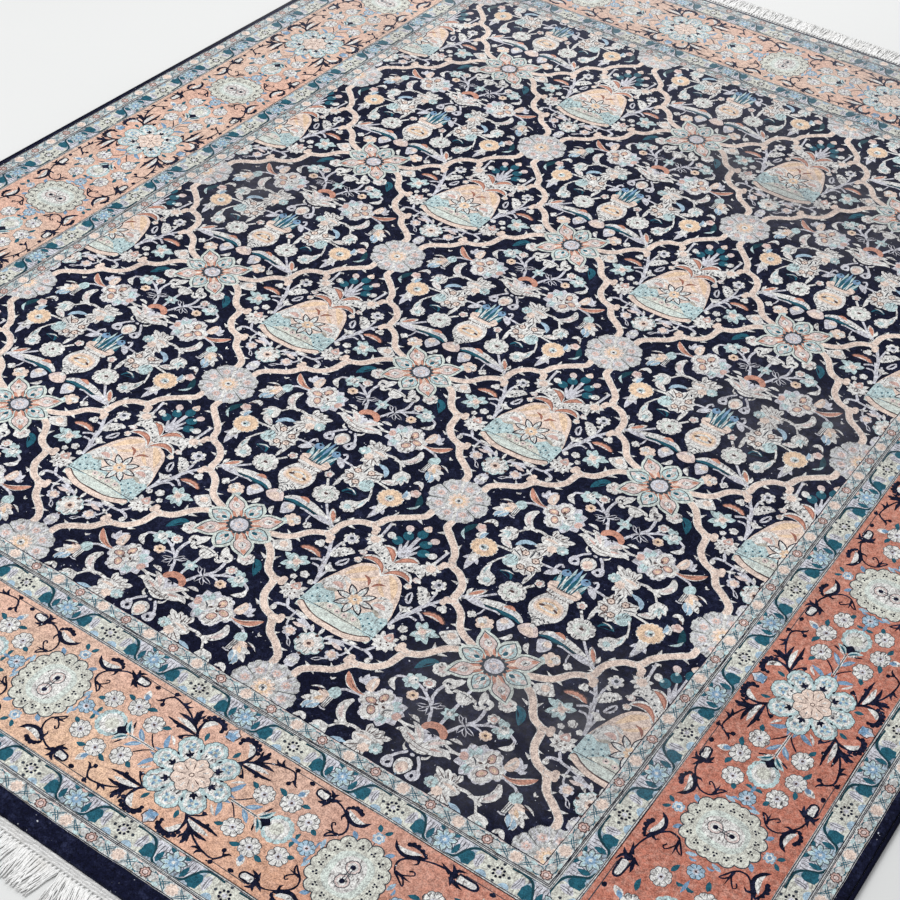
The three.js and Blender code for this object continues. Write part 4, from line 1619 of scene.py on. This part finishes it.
def cotton(name, colour, crease_shade, low_shade):
    """Spun cotton warp ends: off-white, with a little dust, painted shade in the creases between
    threads and painted shade low down.
    """
    finish = Finish(name)
    fibres = finish.grain(900.0, 2.0, stretch=(1.0, 0.25, 1.0))
    threads = finish.grain(260.0, 2.0, stretch=(1.0, 0.45, 1.0))
    dust = finish.grain(24.0, 3.0)
    base = finish.blend(finish.spread(dust, 0.5, 0.8, 0.0, 0.22), linear(colour),
                        (0.62, 0.55, 0.44, 1.0))
    # Painted shade in the creases between threads.
    painted_crease_shade = finish.spread(threads, 0.34, 0.5, crease_shade, 0.0)
    base = finish.blend(fibres * 0.06, base, (0.42, 0.4, 0.37, 1.0))
    base = finish.blend(painted_crease_shade, base, (0.12, 0.115, 0.11, 1.0))
    # Painted shade: the lower parts of the threads are darkened as if shaded by those above.
    low = finish.spread(finish.axis("Z"), 0.0008, 0.0030, low_shade, 0.0)
    base = finish.blend(low, base, (0.10, 0.095, 0.09, 1.0))
    finish.feed(finish.shader.inputs["Base Color"], base)
    finish.shader.inputs["Roughness"].default_value = 0.95
    finish.shader.inputs["Sheen Weight"].default_value = 0.15
    finish.bump(fibres + threads, 0.0012, 0.45)
    return finish.material


def studio_floor(name, colour):
    """The plain pale floor."""
    finish = Finish(name)
    cloud = finish.grain(2.0, 3.0)
    finish.feed(finish.shader.inputs["Base Color"],
                finish.blend(cloud * 0.1, linear(colour), (0.55, 0.55, 0.55, 1.0)))
    finish.shader.inputs["Roughness"].default_value = 0.8
    return finish.material


def new_piece(name, corners, faces, material, flat=True):
    """A mesh piece in the rug's own frame."""
    mesh = bpy.data.meshes.new(name)
    mesh.from_pydata(corners, [], faces)
    mesh.materials.append(material)
    if not flat:
        mesh.polygons.foreach_set("use_smooth", [True] * len(mesh.polygons))
    mesh.update()
    piece = bpy.data.objects.new(name, mesh)
    bpy.context.scene.collection.objects.link(piece)
    return piece


def map_from_above(piece):
    """A map of the piece as seen from above, over the whole pile."""
    mesh = piece.data
    low, high = PILE_BOX
    layer = mesh.uv_layers.new(name="OFBake")
    places = np.empty(len(mesh.vertices) * 3)
    mesh.vertices.foreach_get("co", places)
    places = places.reshape(-1, 3)
    loops = np.empty(len(mesh.loops), dtype=int)
    mesh.loops.foreach_get("vertex_index", loops)
    u = (places[:, 0] - low[0]) / (high[0] - low[0])
    v = (places[:, 1] - low[1]) / (high[1] - low[1])
    layer.data.foreach_set("uv", np.stack([u[loops], v[loops]], axis=-1).ravel())


def attach(piece, slot, *nodes):
    """Let a piece ride with the rug and stand for the nodes it replaces; its slot is not used."""
    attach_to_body(piece, "root")
    if nodes:
        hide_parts(*nodes)


# The pile's ends wander as the beaten rows did: half the length and the waves in metres.
HALF_PILE = 1.55325
END_WANDER = 0.0016
HALF_WIDTH = 1.22075

# The rim of the pile: heights, and how far it is drawn in at each, in metres.
RIM = [(0.0, 0.0008), (0.0012, 0.0), (0.0060, 0.0), (0.0082, 0.0005), (0.0093, 0.0014),
       (GROUND_TOP, 0.0030)]

# The ends of the pile: steps across them, how far knots and clumps of knots are worn back in
# metres, and how many steps a clump takes up.
END_STEPS = 900
FUZZ = 0.0011
CLUMP = 0.0017
CLUMP_STEPS = 4


def end_line(x):
    """How far the far end of the pile wanders from a straight line, in metres."""
    along = x / HALF_WIDTH
    return END_WANDER * (0.6 * math.sin(5.1 * along + 0.7) + 0.4 * math.sin(13.3 * along) - 1)


def join_rings(faces, first, rings, count):
    """Add the faces that join rings of corners, count to a ring, first the number of the first."""
    for ring in range(rings - 1):
        for k in range(count):
            a = first + ring * count + k
            b = first + ring * count + (k + 1) % count
            faces.append((a, b, b + count, a + count))


def build_ground(colour):
    """The body of the pile, whose navy yarn shows wherever no other yarn is knotted."""
    side = PILE_BOX[1][0]
    chance = random.Random(7)
    clumps = [chance.uniform(0.0, CLUMP) for k in range(END_STEPS // 2 + 2)]
    ring = 2 * (END_STEPS + 1)
    ragged = [chance.uniform(0.0, FUZZ) + clumps[k // CLUMP_STEPS] for k in range(ring)]
    corners = []
    for height, inset in RIM:
        reach = side - inset
        across = [reach - 2 * reach * k / END_STEPS for k in range(END_STEPS + 1)]
        worn_back = 0.3 + 0.7 * height / GROUND_TOP
        ends = [(x, HALF_PILE + end_line(x) - inset) for x in across]
        ends += [(-x, -y) for x, y in ends]
        corners += [(x, y - math.copysign(worn_back * back, y), height)
                    for (x, y), back in zip(ends, ragged)]
    faces = [tuple(reversed(range(ring)))]
    join_rings(faces, 0, len(RIM), ring)
    top = (len(RIM) - 1) * ring
    for k in range(END_STEPS):
        faces.append((top + k, top + k + 1, top + ring - 2 - k, top + ring - 1 - k))
    piece = new_piece("pile_ground", corners, faces, wool("navy wool", colour, 0.32, ground=True))
    map_from_above(piece)
    return piece


# The webs: steps across, twisted rows of weft, mesh rows to each of them, and the height of
# their rims and of the ridges above them in metres.
WEB_STEPS = 1220
WEFTS = 3
WEFT_ROWS = 4
WEB_RIM = 0.0004
WEB_RIDGE = 0.0035


def web_height(column, t):
    """How high a web is at a step across and a part t of its width, in metres."""
    weft = abs(math.sin(math.pi * WEFTS * t))
    weft_row = math.floor(WEFTS * min(t, 0.999))
    turn = 0.5 * column + 0.7 * weft_row + 2.6 * WEFTS * t + 0.6 * math.sin(0.83 * column)
    over = 0.5 + 0.5 * math.sin(math.pi * turn)
    full = 0.75 + 0.25 * math.sin(0.37 * column + 2.2 * weft_row) * math.sin(0.11 * column)
    return WEB_RIM + WEB_RIDGE * full * weft ** 0.5 * (0.25 + 0.75 * over)


def build_web(name, sign, material):
    """A flat-woven cotton web: wefts that pass over and under the warps."""
    low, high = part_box(name)
    reach = (high[0] - low[0]) / 2 - 0.0002
    outer = max(abs(low[1]), abs(high[1])) - 0.0001
    corners = []
    rows = WEFTS * WEFT_ROWS
    for row in range(rows + 1):
        t = row / rows
        for column in range(WEB_STEPS + 1):
            x = reach * (1 - 2 * column / WEB_STEPS)
            inner = HALF_PILE + end_line(x) - 0.0006
            slack = 0.10 * math.sin(0.21 * column) + 0.08 * math.sin(0.057 * column + 2)
            y = inner + (outer - inner) * (t + slack * math.sin(math.pi * t) / WEFTS)
            rim = row in (0, rows) or column in (0, WEB_STEPS)
            corners.append((sign * x, sign * y, WEB_RIM if rim else web_height(column, t)))
    faces = []
    for row in range(rows):
        for column in range(WEB_STEPS):
            a = row * (WEB_STEPS + 1) + column
            faces.append((a, a + WEB_STEPS + 1, a + WEB_STEPS + 2, a + 1)[::-1])
    rim = list(range(WEB_STEPS + 1))
    rim += [row * (WEB_STEPS + 1) + WEB_STEPS for row in range(1, rows + 1)]
    rim += [rows * (WEB_STEPS + 1) + column for column in reversed(range(WEB_STEPS))]
    rim += [row * (WEB_STEPS + 1) for row in reversed(range(1, rows))]
    first = len(corners)
    corners += [(corners[number][0], corners[number][1], 0.0) for number in rim]
    count = len(rim)
    for k in range(count):
        a, b = rim[k], rim[(k + 1) % count]
        faces.append((a, first + k, first + (k + 1) % count, b)[::-1])
    faces.append(tuple(first + k for k in range(count)))
    return new_piece("woven_" + name, corners, faces, material, flat=False)


# How far a turn of a side cord leans from its underside to its top, in metres either way.
CORD_LEAN = 0.0012


def build_side_cord(name, material):
    """A side cord: wool wound over the edge warps, turn after turn."""
    low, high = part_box(name)
    middle = (low[0] + high[0]) / 2
    wide, tall = (high[0] - low[0]) / 2, high[2] / 2
    turns, sides = 780, 8
    rings = turns * 2
    corners = []
    for ring in range(rings + 1):
        y = low[1] + (high[1] - low[1]) * ring / rings
        swell = 1.0 if ring % 2 else 0.9
        for side in range(sides):
            angle = math.tau * (side + 0.5) / sides
            lean = CORD_LEAN * math.sin(angle)
            z = tall + tall * swell * math.sin(angle)
            corners.append((middle + wide * swell * math.cos(angle),
                            min(max(y + lean, low[1]), high[1]), max(z, 0.0)))
    faces = []
    for ring in range(rings):
        for side in range(sides):
            a, b = ring * sides + side, ring * sides + (side + 1) % sides
            faces.append((a, a + sides, b + sides, b))
    faces.append(tuple(range(sides)))
    faces.append(tuple(reversed(range(rings * sides, (rings + 1) * sides))))
    return new_piece("wound_" + name, corners, faces, material, flat=False)


def tube(corners, faces, line, radii, sides):
    """Add a closed tube along a line to a mesh's corners and faces."""
    first = len(corners)
    for number, point in enumerate(line):
        start = Vector(line[max(number - 1, 0)])
        end = Vector(line[min(number + 1, len(line) - 1)])
        along = (end - start).normalized()
        across = along.cross(Vector((0, 0, 1)))
        across = across.normalized() if across.length > 0.1 else Vector((1, 0, 0))
        up = across.cross(along)
        for side in range(sides):
            angle = math.tau * side / sides
            corners.append(tuple(Vector(point) + radii[number] * (
                math.cos(angle) * across + math.sin(angle) * up)))
    join_rings(faces, first, len(line), sides)
    faces.append(tuple(first + side for side in reversed(range(sides))))
    last = first + (len(line) - 1) * sides
    faces.append(tuple(last + side for side in range(sides)))


# The fringes: locks, loose ends to a lock, and steps and thinning along an end.
LOCKS = 152
ENDS = 13
END_LINE_STEPS = 6
THINNING = 0.3

# A knot: how far it shifts across, how far out it reaches, its height and its radius, in metres.
KNOT = [(-0.0006, 0.0004, 0.0016, 0.0012), (0.0, 0.0024, 0.0024, 0.0021),
        (0.0008, 0.0048, 0.0026, 0.0022), (0.0010, 0.0072, 0.0018, 0.0010)]


def build_fringe(name, sign, material, chance, tangle):
    """A warp fringe: a row of knots, and a thick tangle of loose wavy ends past each one."""
    low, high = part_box(name)
    root = min(abs(low[1]), abs(high[1]))
    tip = max(abs(low[1]), abs(high[1]))
    drift = 0.0
    pitch = (high[0] - low[0]) / LOCKS
    corners = []
    faces = []
    for lock in range(LOCKS):
        x = low[0] + pitch * (lock + 0.5)
        for twist in (-0.0038, 0.0036):
            middle = x + twist + chance.uniform(-0.0008, 0.0008)
            tube(corners, faces, [(sign * (middle + across), sign * (root + out), height)
                                  for across, out, height, radius in KNOT],
                 [radius for across, out, height, radius in KNOT], 6)
        drift = max(-0.03, min(0.03, drift + chance.uniform(-0.012, 0.012))) * tangle
        if chance.random() < 0.14:
            drift = -drift
        sway = drift + chance.uniform(-0.007, 0.007)
        gather = chance.uniform(0.3, 0.9)
        for end in range(ENDS):
            place = pitch * ((end + 0.5) / ENDS - 0.5)
            start = x + place
            goal = x + sway + place * 1.15 + chance.uniform(-0.006, 0.006)
            waist = x + sway * 0.5 + (start - x) * gather
            length = (tip - root - 0.005) * chance.uniform(1 - 0.14 * tangle, 1.0)
            curl = chance.uniform(-0.0022, 0.0022)
            phase = chance.uniform(0, math.tau)
            lift = chance.uniform(0.0014, 0.0037)
            line = []
            for step in range(END_LINE_STEPS + 1):
                t = step / END_LINE_STEPS
                across = start * (1 - t) ** 2 + 2 * waist * t * (1 - t) + goal * t * t
                across += curl * math.sin(phase + 7.5 * t) * math.sin(math.pi * min(t, 0.6))
                height = lift * (1 - 0.3 * t) + 0.0006 * math.sin(phase + 8 * t)
                line.append((sign * min(max(across, low[0] + 0.0015), high[0] - 0.0015),
                             sign * (root + 0.0042 + length * t), max(height, 0.0012)))
            radius = chance.uniform(0.0010, 0.0015)
            radii = [radius * (1 - THINNING * step / END_LINE_STEPS)
                     for step in range(END_LINE_STEPS + 1)]
            tube(corners, faces, line, radii, 4)
    return new_piece("knotted_" + name, corners, faces, material, flat=False)


def colour_property(name, description, default):
    """A colour that the panel can change, its default in 255ths as it looks on a screen."""
    return bpy.props.FloatVectorProperty(
        name=name, description=description, subtype="COLOR", size=3, min=0.0, max=1.0,
        default=tuple(part / 255 for part in default))


class RugYarns(bpy.types.PropertyGroup):
    """The colours of the yarns, as they look on a screen."""

    navy: colour_property("Navy", "Ground of the field and the outer band", (10, 13, 33))
    ivory: colour_property("Ivory", "Petals, leaves and medallions", (221, 219, 214))
    cream: colour_property("Cream", "Ground of the guards' cartouches", (208, 208, 196))
    lilac: colour_property("Lilac grey", "Great rosettes and stems", (203, 202, 208))
    aqua: colour_property("Aqua", "Pale blue-green flowers", (183, 204, 204))
    sky: colour_property("Sky", "Pale blue petals", (158, 182, 198))
    blue: colour_property("Blue", "Small leaves and lotus buds", (118, 149, 177))
    teal: colour_property("Teal", "Leaves and tulip cups", (36, 88, 104))
    deepteal: colour_property("Deep teal", "Guard stems and shaded leaves", (26, 62, 72))
    peach: colour_property("Peach", "Trellis and vases", (220, 199, 185))
    apricot: colour_property("Apricot", "Rosettes", (222, 193, 164))
    blush: colour_property("Blush", "Soft spots on pale flowers", (211, 193, 187))
    rose: colour_property("Rose", "Hearts of flowers", (201, 168, 158))
    coral: colour_property("Coral", "Bent leaves and palmette tops", (194, 140, 120))
    russet: colour_property("Russet", "Leaf ribs of the vases", (152, 102, 88))
    umber: colour_property("Umber", "Thin outlines", (84, 64, 62))
    slate: colour_property("Slate", "Thin lines of the guards", (60, 66, 74))
    sand: colour_property("Sand", "Shaded corners", (167, 161, 150))
    sage: colour_property("Sage", "Hearts of the cream medallions", (201, 208, 200))
    mist: colour_property("Mist", "Ground of the medium guards", (161, 176, 188))
    stone: colour_property("Stone", "Ground of the narrow guards", (195, 196, 193))
    brick: colour_property("Salmon", "Ground of the main border", (211, 181, 162))
    # The main border's colour to the right: partly a deeper dye, partly painted shade of the pile's
    # lie.
    deepbrick: colour_property("Brick", "The main border where its dye is deepest", (182, 113, 95))
    cotton: colour_property("Cotton", "Warp ends, webs and fringes", (252, 251, 249))


class RugStage(bpy.types.PropertyGroup):
    """The floor and the camera."""

    floor: colour_property("Floor", "Colour of the plain floor", (222, 222, 220))
    lens: bpy.props.FloatProperty(
        name="Lens", description="Focal length on a 36 mm wide picture", default=66.44, min=10.0)
    stand: bpy.props.FloatVectorProperty(
        name="Camera", description="Where the camera stands", subtype="XYZ", unit="LENGTH",
        default=(1.4425, -2.467, 2.090))
    aim: bpy.props.FloatVectorProperty(
        name="Aim", description="The place in the middle of the picture", subtype="XYZ",
        unit="LENGTH", default=(0.1787, -0.4596, 0.010))
    roll: bpy.props.FloatProperty(
        name="Roll", description="Turn of the camera about its own line of sight",
        subtype="ANGLE", default=math.radians(3.8917))


class RUG_OT_stage(bpy.types.Operator):
    """Set up the floor, the soft lights and the camera"""

    bl_idname = "rug.stage"
    bl_label = "Stage"

    def execute(self, context):
        stage = context.scene.rug_stage
        floor = new_piece("floor", [(-40, -40, 0), (40, -40, 0), (40, 40, 0), (-40, 40, 0)],
                          [(0, 1, 2, 3)], studio_floor("studio floor", stage.floor))
        floor.location.z = -0.0003
        floor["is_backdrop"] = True
        camera = bpy.data.objects.new("camera", bpy.data.cameras.new("camera"))
        camera.data.lens = stage.lens
        camera.data.sensor_width = 36.0
        camera.location = stage.stand
        sight = (Vector(stage.aim) - Vector(stage.stand)).to_track_quat("-Z", "Y")
        camera.rotation_euler = (sight.to_matrix() @ Matrix.Rotation(stage.roll, 3, "Z")).to_euler()
        context.scene.collection.objects.link(camera)
        context.scene.camera = camera
        for name, place, size, power in (
                ("light over the far end", (-1.2, 3.6, 3.2), 3.0, 99.0),
                ("light over the near end", (-2.2, -2.6, 4.0), 3.0, 123.0)):
            lamp = bpy.data.lights.new(name, "AREA")
            lamp.size = size
            lamp.energy = power
            light = bpy.data.objects.new(name, lamp)
            light.location = place
            light.rotation_euler = (-Vector(place)).to_track_quat("-Z", "Y").to_euler()
            context.scene.collection.objects.link(light)
        world = bpy.data.worlds.new("soft light")
        world.use_nodes = True
        world.node_tree.nodes["Background"].inputs["Color"].default_value = (0.95, 0.97, 1.0, 1.0)
        world.node_tree.nodes["Background"].inputs["Strength"].default_value = 0.6
        context.scene.world = world
        context.scene.view_settings.view_transform = "Standard"
        return {"FINISHED"}


class RUG_OT_pile(bpy.types.Operator):
    """Knot the pile: the navy ground, the field, the guards and the main border"""

    bl_idname = "rug.pile"
    bl_label = "Pile"

    def execute(self, context):
        yarns = context.scene.rug_yarns
        ground = build_ground(yarns.navy)
        attach(ground, "pile_wool", "pile_carpet")
        pattern = Pattern()
        lay_field(pattern)
        lay_borders(pattern)
        lined = {"ivory": 0.75, "aqua": 0.6, "cream": 0.5, "lilac": 0.5, "mist": 0.8, "stone": 0.6}
        for yarn, corners, faces in pattern.yarns():
            salmon_yarn = yarn == "brick"
            finish = wool(yarn + " wool", getattr(yarns, yarn), 0.3 if salmon_yarn else 0.42,
                          yarns.deepbrick if salmon_yarn else None, lined.get(yarn, 0.0))
            piece = new_piece("pile_" + yarn, [(x, y, PATTERN_TOP) for x, y in corners],
                              faces.tolist(), finish)
            map_from_above(piece)
            attach(piece, "pile_wool")
        return {"FINISHED"}


class RUG_OT_side_cords(bpy.types.Operator):
    """Wind the cords along the two long sides"""

    bl_idname = "rug.side_cords"
    bl_label = "Side cords"

    def execute(self, context):
        finish = wool("cord wool", context.scene.rug_yarns.navy, 0.2)
        for name in ("side_cord_right", "side_cord_left"):
            attach(build_side_cord(name, finish), "cord_wool", name)
        return {"FINISHED"}


class RUG_OT_end_webs(bpy.types.Operator):
    """Weave the cotton webs past the two ends of the pile"""

    bl_idname = "rug.end_webs"
    bl_label = "End webs"

    def execute(self, context):
        finish = cotton("web cotton", context.scene.rug_yarns.cotton, 0.20, 0.38)
        for name, sign in (("end_web_near", -1), ("end_web_far", 1)):
            attach(build_web(name, sign, finish), "warp_cotton", name)
        return {"FINISHED"}


class RUG_OT_fringes(bpy.types.Operator):
    """Knot the warp ends into the two fringes"""

    bl_idname = "rug.fringes"
    bl_label = "Fringes"

    def execute(self, context):
        finish = cotton("fringe cotton", context.scene.rug_yarns.cotton, 0.12, 0.6)
        chance = random.Random(11)
        for name, sign, tangle in (("fringe_near", -1, 1.0), ("fringe_far", 1, 0.4)):
            attach(build_fringe(name, sign, finish, chance, tangle), "warp_cotton", name)
        return {"FINISHED"}


class RUG_OT_lay(bpy.types.Operator):
    bl_idname = "rug.lay"
    bl_label = "Lay flat"

    def execute(self, context):
        return {"FINISHED"}


OPERATORS = (RUG_OT_stage, RUG_OT_pile, RUG_OT_side_cords, RUG_OT_end_webs, RUG_OT_fringes,
             RUG_OT_lay)


class RUG_PT_panel(bpy.types.Panel):
    """Lists the steps that make the rug"""

    bl_idname = "RUG_PT_panel"
    bl_label = "Hand-knotted rug"
    bl_space_type = "VIEW_3D"
    bl_region_type = "UI"
    bl_category = "Rug"

    def draw(self, context):
        for group in (context.scene.rug_yarns, context.scene.rug_stage):
            for name in group.__annotations__:
                self.layout.prop(group, name)
        for operator in OPERATORS:
            self.layout.operator(operator.bl_idname)


CLASSES = (RugYarns, RugStage) + OPERATORS + (RUG_PT_panel,)


def register():
    for each in CLASSES:
        bpy.utils.register_class(each)
    bpy.types.Scene.rug_yarns = bpy.props.PointerProperty(type=RugYarns)
    bpy.types.Scene.rug_stage = bpy.props.PointerProperty(type=RugStage)


def unregister():
    del bpy.types.Scene.rug_stage
    del bpy.types.Scene.rug_yarns
    for each in reversed(CLASSES):
        bpy.utils.unregister_class(each)


def main():
    register()
    bpy.ops.rug.stage()
    bpy.ops.rug.pile()
    bpy.ops.rug.side_cords()
    bpy.ops.rug.end_webs()
    bpy.ops.rug.fringes()
    bpy.ops.rug.lay()
    boxes = {"cad": CAD_BOX, "visual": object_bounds()}
    plain = {name: [[float(part) for part in corner] for corner in box]
             for name, box in boxes.items()}


if __name__ == "__main__":
    main()
